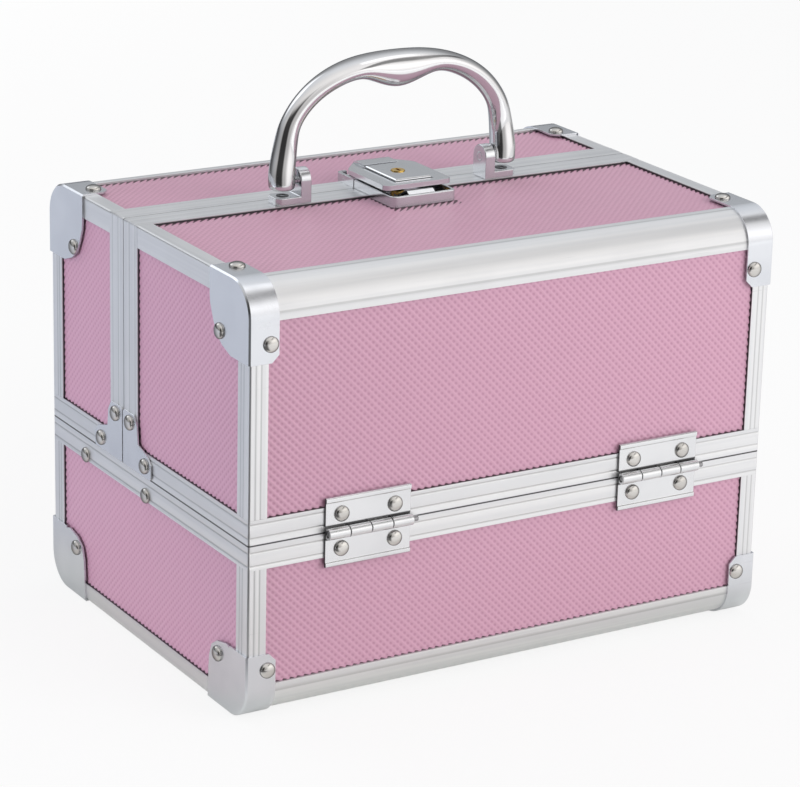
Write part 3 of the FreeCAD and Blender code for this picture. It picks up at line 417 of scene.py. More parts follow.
bpy.ops.mesh.primitive_plane_add(size=12.0, location=(0, 2.0, 0))
floor = newest("studio_floor")
settled(floor)
paper = bpy.data.materials.new("white_paper_floor")
paper.use_nodes = True
tree = paper.node_tree
tree.nodes.clear()
leave = made(tree, "OutputMaterial")
path = made(tree, "LightPath").outputs
spot = made(tree, "TexCoord").outputs["Object"]
x, y, z = split(tree, spot)
behind = spread(tree, minus(tree, y, times(tree, x, 0.6)), -0.25, 0.4)
distance = made(tree, "VectorMath")
distance.operation = "LENGTH"
feed(tree, distance, 0, spot)
near = fade(tree, distance.outputs["Value"], 0.15, 0.24)
unscreened = calc(tree, "MAXIMUM", dark_screen(tree, x, y), near)
tone = blend(tree, behind, PAPER_FRONT, PAPER_PAINTED_BEHIND_SHADE)
tone = blend(tree, minus(tree, 1.0, unscreened), tone, PAPER_PAINTED_SCREEN_SHADOW)
tone = blend(tree, times(tree, near, unscreened), tone, PAPER_PAINTED_NEAR_SHADE)
tone = blend(tree, path["Is Camera Ray"], tone, PAPER_SEEN)
# Painted glow: in front of the case the paper glows for glossy rays, so the metal mirrors a bright
# floor.
mirrored = times(tree, minus(tree, 1.0, behind), unscreened, path["Is Glossy Ray"],
                 linear(tree, near, -0.3, 0.5))
glowing = linear(tree, path["Is Camera Ray"], 0.84, mirrored)
feed(tree, leave, "Surface", mixed(tree, glowing, made(tree, "BsdfDiffuse", Color=tone),
                                   made(tree, "Emission", Color=(1, 1, 1))))
floor.data.materials.append(paper)
print("floor ready")


# %% Soft boxes
AIM = Vector((0, 0, 0.1))


def soft_box(name, spot, width, tall, power, colour=(1, 1, 1)):
    """A wide lamp that faces the case and that no piece mirrors."""
    bpy.ops.object.light_add(type="AREA", location=spot)
    lamp = newest(name)
    lamp.data.shape = "RECTANGLE"
    lamp.data.size = width
    lamp.data.size_y = tall
    lamp.data.energy = power
    lamp.data.color = colour
    lamp.rotation_euler = (AIM - Vector(spot)).to_track_quat("-Z", "Y").to_euler()
    lamp.visible_glossy = False


soft_box("front_box", (0.85, -1.55, 0.75), 1.2, 1.1, 12.3)
soft_box("left_box", (-1.8, -0.1, 0.36), 0.8, 0.5, 12.5, (0.89, 0.89, 1.0))
soft_box("top_box", (0.15, 0.2, 1.6), 1.0, 0.8, 0.3)
soft_box("rear_box", (-0.2, 1.7, 0.3), 1.2, 0.6, 6.0)
print("lamps ready")


# %% [markdown]
# ## Shared effects
# Three effects turn up in more than one finish, so each is a node group that is built once: the
# lozenge embossing of the pink sheet, the drawing lines that an extrusion die leaves along
# aluminium, and the faint smudges and hairlines of handling.  A group gives out only heights,
# shades and masks.  The shader itself stays in each material, where its settings are easy to read.

# %% Starting a group
def new_group(name, inputs, outputs):
    """An empty node group that takes a Vector: its tree, its inputs and its output node."""
    group = bpy.data.node_groups.new(name, "ShaderNodeTree")
    group.interface.new_socket("Vector", in_out="INPUT", socket_type="NodeSocketVector")
    for title in inputs:
        group.interface.new_socket(title, in_out="INPUT", socket_type="NodeSocketFloat")
    for title in outputs:
        group.interface.new_socket(title, in_out="OUTPUT", socket_type="NodeSocketFloat")
    return group, group.nodes.new("NodeGroupInput").outputs, group.nodes.new("NodeGroupOutput")


print("group tool ready")


# %% Lozenge embossing
# Two waves cross at right angles.  The pits are deep between two ribs and flatten along a rib, so
# the ribs run one way.  Valley marks the pits for a painted shade.  Painted Gaps is a painted
# shadow: a row of dark gaps round the window, whose teeth follow the ribs.
LOZENGE = 2.22 * MM

group, given, result = new_group("lozenge_embossing",
                                 ("Half Width", "Half Height", "Reach Across", "Reach Up"),
                                 ("Height", "Valley", "Painted Gaps", "Ragged"))
u, v = split(group, given["Vector"])[:2]
wave = 2 * math.pi / (LOZENGE * math.sqrt(2))
rise = calc(group, "COSINE", times(group, calc(group, "ADD", u, v), wave))
fall = calc(group, "COSINE", times(group, minus(group, u, v), wave))
trough = linear(group, rise, -0.5, 0.5)
pits = times(group, trough, linear(group, fall, -0.33, 0.67))
ribs = linear(group, rise, 0.2, 0.8)
worn = linear(group, grain(group, given["Vector"], 900.0, 1.0), 0.35, 0.82)
feed(group, result, "Height", times(group, minus(group, ribs, pits), worn))
feed(group, result, "Valley", spread(group, pits, 0.15, 1.0))
gap_u = minus(group, given["Half Width"], calc(group, "ABSOLUTE", u))
gap_v = minus(group, given["Half Height"], calc(group, "ABSOLUTE", v))
inward = calc(group, "MINIMUM", calc(group, "DIVIDE", gap_u, given["Reach Across"]),
              calc(group, "DIVIDE", gap_v, given["Reach Up"]))
ragged = times(group, trough, worn)
feed(group, result, "Painted Gaps", spread(group, minus(group, ragged, inward), -0.05, 0.4))
feed(group, result, "Ragged", ragged)
print("group:", group.name)


# %% Drawing lines of an extrusion
group, given, result = new_group("drawing_lines", (), ("Height", "Shade"))
broad = grain(group, given["Vector"], 420.0, 1.0)
fine = grain(group, given["Vector"], 2300.0, 2.0, 0.6)
feed(group, result, "Height", linear(group, fine, 0.45, times(group, broad, 0.55)))
feed(group, result, "Shade", spread(group, broad, 0.3, 0.7))
print("group:", group.name)


# %% Smudges and hairline scratches
group, given, result = new_group("handling_marks", (), ("Smudge", "Scratch"))
cloud = grain(group, given["Vector"], 38.0, 3.0, 0.55)
feed(group, result, "Smudge", spread(group, cloud, 0.42, 0.72))
slant = placed(group, given["Vector"], rotation=(0.5, 0.9, 0.7), scale=(30.0, 1500.0, 1500.0))
hair = grain(group, slant, 1.0, 1.0)
feed(group, result, "Scratch", spread(group, hair, 0.735, 0.8))
print("group:", group.name)


# %% [markdown]
# ## Finishes
# A finish is a material with one Principled shader.  Object coordinates keep each pattern fixed to
# its piece at true scale, and a Mapping node turns or stretches them: drawing lines, for example,
# are plain noise that is stretched about eightyfold along the profile.

# %% Starting a finish
def new_finish(name, colour, metallic, roughness):
    """A material: itself, its node tree, its one shader and the Object coordinates."""
    finish = bpy.data.materials.new(name)
    finish.use_nodes = True
    nest = finish.node_tree
    shader = nest.nodes["Principled BSDF"]
    for socket, value in (("Base Color", colour), ("Metallic", metallic), ("Roughness", roughness)):
        feed(nest, shader, socket, value)
    finish.diffuse_color = (*colour, 1.0)
    return finish, nest, shader, made(nest, "TexCoord").outputs["Object"]


def effect(nest, name, **values):
    """A shared group inside a material."""
    node = made(nest, "Group")
    node.node_tree = bpy.data.node_groups[name]
    for title, value in values.items():
        feed(nest, node, title.replace("_", " "), value)
    return node.outputs


def surfaced(nest, shader, tone, rough, height, depth, strength):
    """Lead colour, roughness and a height into the shader; depth in millimetres."""
    bump = made(nest, "Bump", Strength=strength, Distance=depth * MM, Height=height)
    feed(nest, shader, "Normal", bump.outputs[0])
    feed(nest, shader, "Base Color", tone)
    feed(nest, shader, "Roughness", rough)


print("finish tools ready")


# %% [markdown]
# ### The pink embossed sheet
# The boards are faced with a thin plastic sheet that is pressed with small lozenges.  Its pits are
# painted a deeper pink as painted shade, and where a trim crosses the ribs a row of tiny dark gaps
# is painted in, like teeth, as painted shadow.  The gaps follow the window between the trims, so
# each board gets its own finish: the middle of its window, the two half sizes, the turn that lays
# it flat, how strong the relief looks, and how far the teeth reach in.  Round the catch box the
# sheet has the same painted shadow.  In metal's reflections the sheet is painted a darker, greyer
# pink.

# %% Pink sheet
PINK = (0.655, 0.375, 0.495)
PINK_PIT_SHADE = (0.48, 0.225, 0.33)
PINK_MIRRORED = (0.36, 0.33, 0.35)
GAP_SHADOW = (0.035, 0.012, 0.02)
CATCH_HALF, CATCH_FRONT = 15.0 * MM, -12.6 * MM


def pink_sheet(name, centre, half_width, half_height, turned, relief, reach, latched=False):
    """Embossed sheet whose visible window is centred at a point, in millimetres."""
    finish, nest, shader, spot = new_finish(name, PINK, 0.0, 0.42)
    moved = placed(nest, spot, location=[-c * MM for c in centre])
    press = effect(nest, "lozenge_embossing", Vector=placed(nest, moved, rotation=turned),
                   Half_Width=half_width * MM, Half_Height=half_height * MM,
                   Reach_Across=reach[0] * MM, Reach_Up=reach[1] * MM)
    marks = effect(nest, "handling_marks", Vector=spot)
    # Painted shadow: dark teeth along the window's edge, where the trims' walls shade the sheet.
    painted_gaps = press["Painted Gaps"]
    # Round the catch box the same painted shadow is added.
    if latched:
        x, y, z = split(nest, spot)
        side = minus(nest, calc(nest, "ABSOLUTE", x), CATCH_HALF)
        front = minus(nest, CATCH_FRONT, y)
        out = calc(nest, "MAXIMUM", calc(nest, "DIVIDE", side, 1.0 * MM),
                   calc(nest, "DIVIDE", front, 5.0 * MM))
        painted_gaps = calc(nest, "MAXIMUM", painted_gaps,
                      spread(nest, minus(nest, press["Ragged"], out), -0.05, 0.4))
    # Painted shade: the pits are painted a deeper pink, more so where the relief is stronger.
    tone = blend(nest, times(nest, press["Valley"], 0.62 * relief), PINK, PINK_PIT_SHADE)
    tone = blend(nest, times(nest, painted_gaps, 0.9), tone, GAP_SHADOW)
    # Painted reflection: for glossy rays the sheet is painted a darker, greyer pink, so metal
    # mirrors less pink.
    mirrored = made(nest, "LightPath").outputs["Is Glossy Ray"]
    tone = blend(nest, times(nest, mirrored, 0.45), tone, PINK_MIRRORED)
    feed(nest, shader, "Specular IOR Level", 0.3)
    surfaced(nest, shader, tone, linear(nest, marks["Smudge"], 0.07, 0.4),
             press["Height"], 0.17 * relief, 0.8)
    return finish


QUARTER = math.radians(90)
STANDING = ((-QUARTER, 0, 0), 1.0, (0.75, 0.75))  # turn, relief, reach of the teeth
ON_END = ((0, QUARTER, 0), 0.85, (0.9, 0.9))
FLAT = ((0, 2 * QUARTER, 0), 0.6, (2.2, 3.6))
sheets = {
    "mirror_lid_long_board": ((-0.5, 0, 123.5), 112.5, 39.7, *STANDING),
    "tray_lid_long_board": ((-0.5, 0, 123.5), 112.5, 39.7, *STANDING),
    "base_front_board": ((-0.5, 0, 40.1), 112.5, 24.8, *STANDING),
    "base_rear_board": ((-0.5, 0, 40.1), 112.5, 24.8, *STANDING),
    "mirror_lid_top_board": ((-0.8, -33.1, 0), 113.8, 40.4, *FLAT, True),
    "tray_lid_top_board": ((-0.8, 51.1, 0), 113.8, 20.9, *FLAT),
    "base_bottom_board": ((0, 0, 0), 113.0, 72.0, *FLAT),
    "mirror_lid_end_boards": ((0, -35.4, 126.2), 42.4, 42.7, *ON_END),
    "tray_lid_end_boards": ((0, 53.9, 126.2), 42.4, 23.2, *ON_END),
    "base_end_boards": ((0, -0.5, 36.3), 28.5, 77.6, *ON_END),
}
for name, window in sheets.items():
    faced(nodes[name], pink_sheet("pink_sheet_" + name, *window))
print("pink sheets:", len(sheets))


# %% [markdown]
# ### Aluminium
# The profiles are anodised aluminium: satin, nearly white, with lines along their length from the
# die.  Their grooves, the thin walls that stand on the sheet and both sides of the parting line
# lie in shadow, which is worked out from how deep a place lies inside the case's outer planes.

# %% Satin aluminium
BOTTOM = 0.8


def depth_inside(nest, x, y, z):
    """How far a place lies inside the nearest outer plane of the case."""
    in_x = minus(nest, HALF_X * MM, calc(nest, "ABSOLUTE", x))
    in_y = minus(nest, HALF_Y * MM, calc(nest, "ABSOLUTE", y))
    below = minus(nest, TOP * MM, z)
    return extreme(nest, "MINIMUM", in_x, in_y, below, minus(nest, z, BOTTOM * MM))


def satin_aluminium(name, stretch, walls=True, dull=0.35):
    """Anodised profile whose drawing lines run along the squeezed directions."""
    finish, nest, shader, spot = new_finish(name, (0.86, 0.862, 0.87), 1.0, 0.33)
    lines = effect(nest, "drawing_lines", Vector=placed(nest, spot, scale=stretch))
    marks = effect(nest, "handling_marks", Vector=spot)
    x, y, z = split(nest, spot)
    depth = depth_inside(nest, x, y, z)
    shadow = fade(nest, off(nest, z, PARTING * MM), 0.2 * MM, 0.42 * MM)
    if walls:
        wall = times(nest, spread(nest, depth, 0.22 * MM, 0.4 * MM),
                     fade(nest, depth, 1.0 * MM, 1.1 * MM))
        shadow = calc(nest, "MAXIMUM", shadow, wall)
    groove = times(nest, spread(nest, depth, 0.03 * MM, 0.14 * MM, 0.0, 0.35),
                   fade(nest, depth, 0.2 * MM, 0.3 * MM))
    tone = blend(nest, lines["Shade"], (0.83, 0.833, 0.845), (0.9, 0.9, 0.905))
    tone = blend(nest, times(nest, marks["Scratch"], 0.3), tone, (0.6, 0.61, 0.63))
    tone = blend(nest, times(nest, shadow, 0.9), tone, (0.02, 0.018, 0.02))
    tone = blend(nest, groove, tone, (0.3, 0.3, 0.3))
    rough = linear(nest, lines["Height"], 0.1, dull)
    surfaced(nest, shader, tone, linear(nest, marks["Smudge"], 0.06, rough),
             lines["Height"], 0.03, 0.4)
    return finish


ALONG = 0.012
rim_aluminium = satin_aluminium("aluminium_rim", (ALONG, ALONG, 1.0))
post_aluminium = satin_aluminium("aluminium_post", (1.0, 1.0, ALONG))
edge_aluminium = satin_aluminium("aluminium_edge", (ALONG, 1.0, 1.0), False, 0.42)
strip_aluminium = satin_aluminium("aluminium_strip", (1.0, ALONG, 1.0))
seam_aluminium = satin_aluminium("aluminium_seam", (ALONG, 1.0, ALONG))
print("aluminium finishes ready")


# %% [markdown]
# ### Steel, nickel, chrome and brass
# The corner protectors are pressed steel with a smooth, slightly blue galvanised face.  Rivets are
# nickel plated, and a painted shade darkens the rim of each head where it turns away from the eye.
# The handle is polished chrome: its roughness stays low, its look comes from the room, and its rim
# gets the same painted shade.

# %% Plain metals
def plain_metal(name, colour, shade, roughness, depth, grain_scale, rim_shade=0.0):
    """Metal with a fine even grain, smudges and a few hairlines; its rim may get a painted shade.
    """
    finish, nest, shader, spot = new_finish(name, colour, 1.0, roughness)
    marks = effect(nest, "handling_marks", Vector=spot)
    speck = grain(nest, spot, grain_scale, 3.0, 0.6)
    cloud = spread(nest, grain(nest, spot, 55.0, 2.0), 0.35, 0.7)
    tone = blend(nest, cloud, colour, shade)
    tone = blend(nest, times(nest, marks["Scratch"], 0.25), tone, (0.55, 0.55, 0.57))
    # Painted shade: the colour darkens where the surface turns away from the eye, for dark things
    # mirrored.
    if rim_shade:
        turned = made(nest, "LayerWeight").outputs["Facing"]
        painted_rim_shade_mask = spread(nest, turned, 0.3, 0.72, 0.0, rim_shade)
        tone = blend(nest, painted_rim_shade_mask, tone, (0.06, 0.055, 0.05))
    rough = linear(nest, speck, 0.1, roughness - 0.05)
    surfaced(nest, shader, tone, linear(nest, marks["Smudge"], 0.07, rough), speck, depth, 0.5)
    return finish


steel = plain_metal("pressed_steel_zinc", (0.8, 0.815, 0.85), (0.74, 0.755, 0.795),
                    0.2, 0.003, 1400.0)
small_steel = plain_metal("small_bright_steel", (0.83, 0.835, 0.85), (0.77, 0.775, 0.79),
                          0.2, 0.01, 1600.0)
nickel = plain_metal("nickel_rivet_head", (0.72, 0.7, 0.67), (0.64, 0.62, 0.59),
                     0.17, 0.01, 1800.0, 0.85)
latch_metal = plain_metal("cast_latch_metal", (0.8, 0.81, 0.83), (0.72, 0.73, 0.755),
                          0.16, 0.01, 1200.0)
chrome = plain_metal("polished_chrome", (0.88, 0.875, 0.88), (0.84, 0.835, 0.845),
                     0.07, 0.004, 900.0, 0.7)
brass = plain_metal("lock_brass", (0.86, 0.58, 0.16), (0.78, 0.49, 0.11), 0.2, 0.012, 1700.0)
blackened = plain_metal("blackened_screw_steel", (0.13, 0.13, 0.135), (0.07, 0.07, 0.075),
                        0.3, 0.02, 900.0)
arm_steel = plain_metal("rolled_arm_steel", (0.62, 0.625, 0.635), (0.54, 0.545, 0.555),
                        0.32, 0.02, 800.0)
print("plain metals ready")


# %% Chrome of the legs
# Towards the feet the normals tilt up, as on a slight flare, so that less of the lid is mirrored.
FLARE_LOW, FLARE_HIGH, TILT = 194 * MM, 204 * MM, 0.14

nest = chrome.node_tree
place = made(nest, "TexCoord").outputs
x, y, z = split(nest, place["Object"])
lift = made(nest, "CombineXYZ", Z=spread(nest, z, FLARE_LOW, FLARE_HIGH, TILT, 0.0))
leaning = made(nest, "VectorMath")
feed(nest, leaning, 0, place["Normal"])
feed(nest, leaning, 1, lift.outputs[0])
outward = made(nest, "VectorTransform", Vector=leaning.outputs[0])
outward.vector_type, outward.convert_from, outward.convert_to = "NORMAL", "OBJECT", "WORLD"
bump = next(node for node in nest.nodes if node.type == "BUMP")
feed(nest, bump, "Normal", outward.outputs[0])
print("flare from", FLARE_LOW, "to", FLARE_HIGH)


# %% Flap: a painted shadow line round the key plate and behind it
PLATE_HALF, PLATE_Y, PLATE_REACH, PLATE_Z = 8.4, 9.4, 12.3, 183.65

flap_metal, nest, shader, spot = new_finish("plated_flap_metal", (0.82, 0.83, 0.85), 1.0, 0.18)
x, y, z = split(nest, spot)
out_x = minus(nest, calc(nest, "ABSOLUTE", x), PLATE_HALF * MM)
out_y = minus(nest, off(nest, y, PLATE_Y * MM), PLATE_REACH * MM)
out = calc(nest, "MAXIMUM", out_x, out_y)
# Painted shadow: a dark line on the flap just outside the key plate's edge, below its top.
line = times(nest, spread(nest, out, -0.02 * MM, 0.05 * MM),
             fade(nest, out, 0.5 * MM, 1.0 * MM),
             fade(nest, z, PLATE_Z * MM, (PLATE_Z + 0.1) * MM))
speck = grain(nest, spot, 1200.0, 3.0, 0.6)
tone = blend(nest, speck, (0.79, 0.8, 0.825), (0.85, 0.86, 0.875))
tone = blend(nest, line, tone, (0.05, 0.05, 0.055))
surfaced(nest, shader, tone, linear(nest, speck, 0.08, 0.13), speck, 0.006, 0.5)
print("finish:", flap_metal.name)


# %% Hinge: dark on the pin, with painted shadow in the recess and painted shade on a leaf's ends
LEAF_END = 18.86

hinge_metal, nest, shader, spot = new_finish("bright_hinge_steel", (0.84, 0.845, 0.855), 1.0, 0.24)
speck = grain(nest, spot, 1600.0, 3.0, 0.6)
marks = effect(nest, "handling_marks", Vector=spot)
x, y, z = split(nest, spot)
rise = off(nest, z, PARTING * MM)
out = minus(nest, calc(nest, "ABSOLUTE", y), PIN_Y * MM)
from_pin = calc(nest, "SQRT", calc(nest, "ADD", times(nest, rise, rise), times(nest, out, out)))
pin = spread(nest, from_pin, 1.3 * MM, 1.6 * MM, 0.6, 0.0)
# Painted shadow in the recess behind the knuckles.
recess = times(nest, spread(nest, rise, 2.8 * MM, 3.3 * MM, 0.9, 0.0),
               fade(nest, out, -1.3 * MM, -1.0 * MM))
# Painted shade on the end faces of each leaf.
along = off(nest, calc(nest, "ABSOLUTE", x), HINGE_X * MM)
end = times(nest, spread(nest, along, LEAF_END * MM, (LEAF_END + 0.1) * MM, 0.0, 0.85),
            spread(nest, rise, 2.4 * MM, 2.5 * MM))
tone = blend(nest, marks["Smudge"], (0.84, 0.845, 0.855), (0.78, 0.785, 0.8))
tone = blend(nest, extreme(nest, "MAXIMUM", pin, recess, end), tone, (0.035, 0.033, 0.035))
surfaced(nest, shader, tone, linear(nest, speck, 0.1, 0.2), speck, 0.01, 0.5)
print("finish:", hinge_metal.name)


# %% [markdown]
# ### Lining, trays and mirror
# Inside, a black flocked lining covers the boards, and the trays are black moulded plastic with a
# fine spark-eroded grain.  Flock is a short fibre pile: it has no gloss, but its fibres catch light
# at a grazing angle, which the shader's sheen gives.  The mirror is bright silver under smooth
# glass with faint smears, and behind it is grey card whose pulp runs one way.

# %% Flock
lining, nest, shader, spot = new_finish("black_flock_lining", (0.012, 0.012, 0.013), 0.0, 0.95)
pile = grain(nest, spot, 2600.0, 3.0, 0.7)
nap = spread(nest, grain(nest, spot, 60.0, 2.0), 0.35, 0.7)
tone = blend(nest, nap, (0.01, 0.01, 0.011), (0.022, 0.021, 0.022))
tone = blend(nest, spread(nest, pile, 0.55, 0.8), tone, (0.045, 0.043, 0.044))
feed(nest, shader, "Sheen Weight", 0.35)
feed(nest, shader, "Sheen Roughness", 0.4)
feed(nest, shader, "Specular IOR Level", 0.15)
surfaced(nest, shader, tone, 0.95, pile, 0.2, 0.8)
print("finish:", lining.name)


# %% Moulded plastic
tray_black, nest, shader, spot = new_finish("black_moulded_tray", (0.02, 0.02, 0.021), 0.0, 0.45)
erosion = grain(nest, spot, 1500.0, 4.0, 0.65)
marks = effect(nest, "handling_marks", Vector=spot)
tone = blend(nest, marks["Scratch"], (0.02, 0.02, 0.021), (0.07, 0.07, 0.072))
surfaced(nest, shader, tone, linear(nest, erosion, 0.2, 0.36), erosion, 0.05, 0.6)
print("finish:", tray_black.name)


# %% Card
card, nest, shader, spot = new_finish("grey_mirror_card", (0.19, 0.18, 0.17), 0.0, 0.85)
pulp = grain(nest, placed(nest, spot, scale=(1.0, 0.35, 1.0)), 900.0, 4.0, 0.6)
tone = blend(nest, pulp, (0.15, 0.142, 0.135), (0.25, 0.24, 0.225))
surfaced(nest, shader, tone, 0.85, pulp, 0.05, 0.5)
print("finish:", card.name)


# %% Silvered glass
mirror_glass, nest, shader, spot = new_finish("silvered_glass", (0.88, 0.9, 0.9), 1.0, 0.03)
marks = effect(nest, "handling_marks", Vector=spot)
tint = spread(nest, grain(nest, spot, 20.0, 1.0), 0.3, 0.8)
feed(nest, shader, "Base Color", blend(nest, tint, (0.87, 0.895, 0.89), (0.9, 0.91, 0.905)))
feed(nest, shader, "Roughness", linear(nest, marks["Smudge"], 0.035, 0.015))
feed(nest, shader, "Coat Weight", 0.5)
feed(nest, shader, "Coat Roughness", 0.02)
print("finish:", mirror_glass.name)


# %% [markdown]
# ## Profiles with softened edges
# The frame's profiles have knife-sharp edges, and a sharp edge catches no light.  A real extrusion
# has a tiny radius on every edge that shows as a thin bright line.  A copy of each solid is merged,
# its flat triangles are dissolved into whole faces, and a narrow bevel gives the edges that line.
# The V grooves stay; only those on top of the seam, which wear flat in use, are made shallower.

# %% Softened copies
GROOVE_Z = 176.02


def softened(node, body, finish, slot, width, segments=2, angle=30.0, worn_flat=0.0):
    """A merged copy that stands for a solid, its edges rounded, its top grooves worn flatter."""
    piece = copied(nodes[node], "soft_" + node)
    edit(piece)
    bpy.ops.mesh.customdata_custom_splitnormals_clear()
    whole()
    bpy.ops.mesh.remove_doubles(threshold=0.004 * MM)
    bpy.ops.mesh.dissolve_limited(angle_limit=math.radians(0.5))
    if worn_flat:
        pick("VERT", lambda corner: abs(corner.co.z - GROOVE_Z * MM) < 0.01 * MM)
        bpy.ops.transform.translate(value=(0, 0, worn_flat * MM))
    done()
    rounded(piece, width, segments, angle)
    fitted(piece, body, finish, slot, node)


for body in (*LIDS, "base"):
    edge = "_edge_profile" if body in LIDS else "_edge_profiles"
    softened(body + "_rim_profiles", body, rim_aluminium, "profile", 0.14)
    softened(body + "_corner_posts", body, post_aluminium, "profile", 0.22)
    softened(body + edge, body, edge_aluminium, "profile", 0.15)
    softened(body + "_end_strips", body, strip_aluminium, "profile", 0.22)
    if body in LIDS:
        softened(body + "_seam_profiles", body, seam_aluminium, "profile", 0.1, worn_flat=0.13)


# %% [markdown]
# ## Corner protectors and seam plates
# The protectors are drawn from one sheet of steel.  Their solids already wrap round the corner, so
# they too are softened copies, with a wider bevel because drawn sheet has no sharp edge anywhere.

# %% Protectors and plates
for lid in LIDS:
    softened(lid + "_corner_protectors", lid, steel, "pressed_steel", 0.28, 3)
    softened(lid + "_seam_plates", lid, steel, "pressed_steel", 0.25, 3)
softened("base_corner_protectors", "base", steel, "pressed_steel", 0.28, 3)


# %% [markdown]
# ## Rivets
# Every corner, plate and hinge is held by domed rivets.  One head is made from a sphere: it is
# cut off at its widest place, squashed, and given a short upright rim.  The copies are turned to
# face outwards from the sheet that they hold, and each lid and the base gets its own set.

# %% One rivet head
HEAD_RADIUS, HEAD_DOME, HEAD_RIM = 3.2, 1.9, 0.3

bpy.ops.mesh.primitive_uv_sphere_add(segments=28, ring_count=16, radius=HEAD_RADIUS * MM)
rivet = newest("rivet_head")
edit(rivet)
whole()
bpy.ops.mesh.bisect(plane_co=(0, 0, 0), plane_no=(0, 0, 1), use_fill=True, clear_inner=True)
whole()
squash = (HEAD_DOME - HEAD_RIM) / HEAD_RADIUS
bpy.ops.transform.resize(value=(1, 1, squash), center_override=(0, 0, 0))
pick("FACE", lambda face: face.normal.z < -0.9)
extruded(0, 0, -HEAD_RIM * MM)
whole()
bpy.ops.transform.translate(value=(0, 0, HEAD_RIM * MM))
done()
rounded(rivet, 0.12, 2, 40.0)
print("rivet faces:", len(rivet.data.polygons))


# %% Where the rivets sit
ENDS = ((-1, (-1, 0, 0)), (1, (1, 0, 0)))  # side of an end, and the way out of it
IN_LONG, IN_END, IN_TOP = 8.4, 22.8, (7.4, 24.5)  # how far from the corner
LOW, HIGH = 21.6, TOP - 23.0  # heights on the base and on a lid
SEAM_Y, SEAM_SPOTS = 19.5, ((6.5, 92.9), (19.7, 78.5))
LEAF_STEP, LEAF_RISE = 11.9, 7.1
ARM_Y, ARM_Z = (0.0, 54.9), 65.8  # rivets that carry the tray arms


def corner_rivets(side, z):
    """On both corners of a long side, a rivet there and one on the end."""
    spots = []
    for end, out in ENDS:
        spots += [((end * (HALF_X - IN_LONG), side * (HALF_Y + SHEET), z), (0, side, 0)),
                  ((end * (HALF_X + SHEET), side * (HALF_Y - IN_END), z), out)]
    return spots


def leaf_rivets(side, up):
    """Two rivets in each hinge leaf on one long side, above or below the parting line."""
    return [((x + step, side * (HALF_Y + LEAF), PARTING + up * LEAF_RISE), (0, side, 0))
            for x in (-HINGE_X, HINGE_X) for step in (-LEAF_STEP, LEAF_STEP)]


def lid_rivets(side):
    """All of a lid; side is -1 for the mirror lid in front and +1 for the tray lid."""
    top = [((end * (HALF_X - IN_TOP[0]), side * (HALF_Y - IN_TOP[1]), TOP + SHEET), (0, 0, 1))
           for end, out in ENDS]
    seam = [((end * (HALF_X + SHEET), SEAM_Y + side * reach, z), out)
            for end, out in ENDS for reach, z in SEAM_SPOTS]
    return corner_rivets(side, HIGH) + top + seam + leaf_rivets(side, 1)


def base_rivets():
    """All of the base."""
    arms = [((end * HALF_X, y, ARM_Z), out) for end, out in ENDS for y in ARM_Y]
    sides = [corner_rivets(side, LOW) + leaf_rivets(side, -1) for side in (-1, 1)]
    return sides[0] + sides[1] + arms


sets = {"mirror_lid": lid_rivets(-1), "tray_lid": lid_rivets(1), "base": base_rivets()}
print("rivets:", {body: len(spots) for body, spots in sets.items()})


# %% Setting the rivets
def aimed(spot, out):
    """Matrix that turns the head's axis outwards and moves it to its place."""
    turned = Vector(out).to_track_quat("Z", "Y").to_matrix().to_4x4()
    return Matrix.Translation(Vector(spot) * MM) @ turned


for body, spots in sets.items():
    heads = [copied(rivet, "head", aimed(*spot)) for spot in spots]
    fitted(joined(heads, "rivets_" + body), body, nickel, "pressed_steel")
bpy.data.objects.remove(rivet)


# %% [markdown]
# ## Hinges
# Each hinge is two sheet leaves, rolled into knuckles that interlock on a pin.  A leaf starts as a
# thin slab.  One cut marks off its outer edge, which is pushed out as a bead.  Knuckles are short
# barrels whose ends are inset to show the rolled sheet round its pin.

# %% One leaf
HINGE_WIDTH, LEAF_REACH, KNUCKLE = 38.0, 14.2, 2.3
HINGE_START = HINGE_X - HINGE_WIDTH / 2
PITCH_X = HINGE_WIDTH / 4


def slab(name, low, high):
    """A box between two corners, in millimetres, ready to be shaped."""
    size = [(b - a) * MM for a, b in zip(low, high)]
    spot = [(a + b) / 2 * MM for a, b in zip(low, high)]
    bpy.ops.mesh.primitive_cube_add(size=1.0, location=spot, scale=size)
    piece = newest(name)
    settled(piece)
    return piece


def leaf_plate(name, up):
    """Plate of a front leaf with its raised bead; up is +1 on the lid and -1 on the base."""
    near, far = PARTING + up * 2.5, PARTING + up * LEAF_REACH
    plate = slab(name, (HINGE_START, -HALF_Y - LEAF, min(near, far)),
                 (HINGE_START + HINGE_WIDTH, -HALF_Y, max(near, far)))
    edit(plate)
    bead = far - up * 2.2
    whole()
    bpy.ops.mesh.bisect(plane_co=(0, 0, bead * MM), plane_no=(0, 0, 1))
    pick("FACE", lambda face: face.normal.y < -0.9 and up * (middle(face).z - bead * MM) > 0)
    extruded(0, -0.5 * MM, 0)
    bpy.ops.transform.resize(value=(1, 1, 0.62))
    done()
    return plate


def on_pin_line(name, x0, length, radius, vertices):
    """A cylinder that lies on the line of the front hinges' pins."""
    middle_x = x0 + length / 2
    bpy.ops.mesh.primitive_cylinder_add(vertices=vertices, radius=radius * MM, depth=length * MM,
                                        location=(middle_x * MM, -PIN_Y * MM, PARTING * MM),
                                        rotation=(0, QUARTER, 0))
    cylinder = newest(name)
    settled(cylinder)
    return cylinder


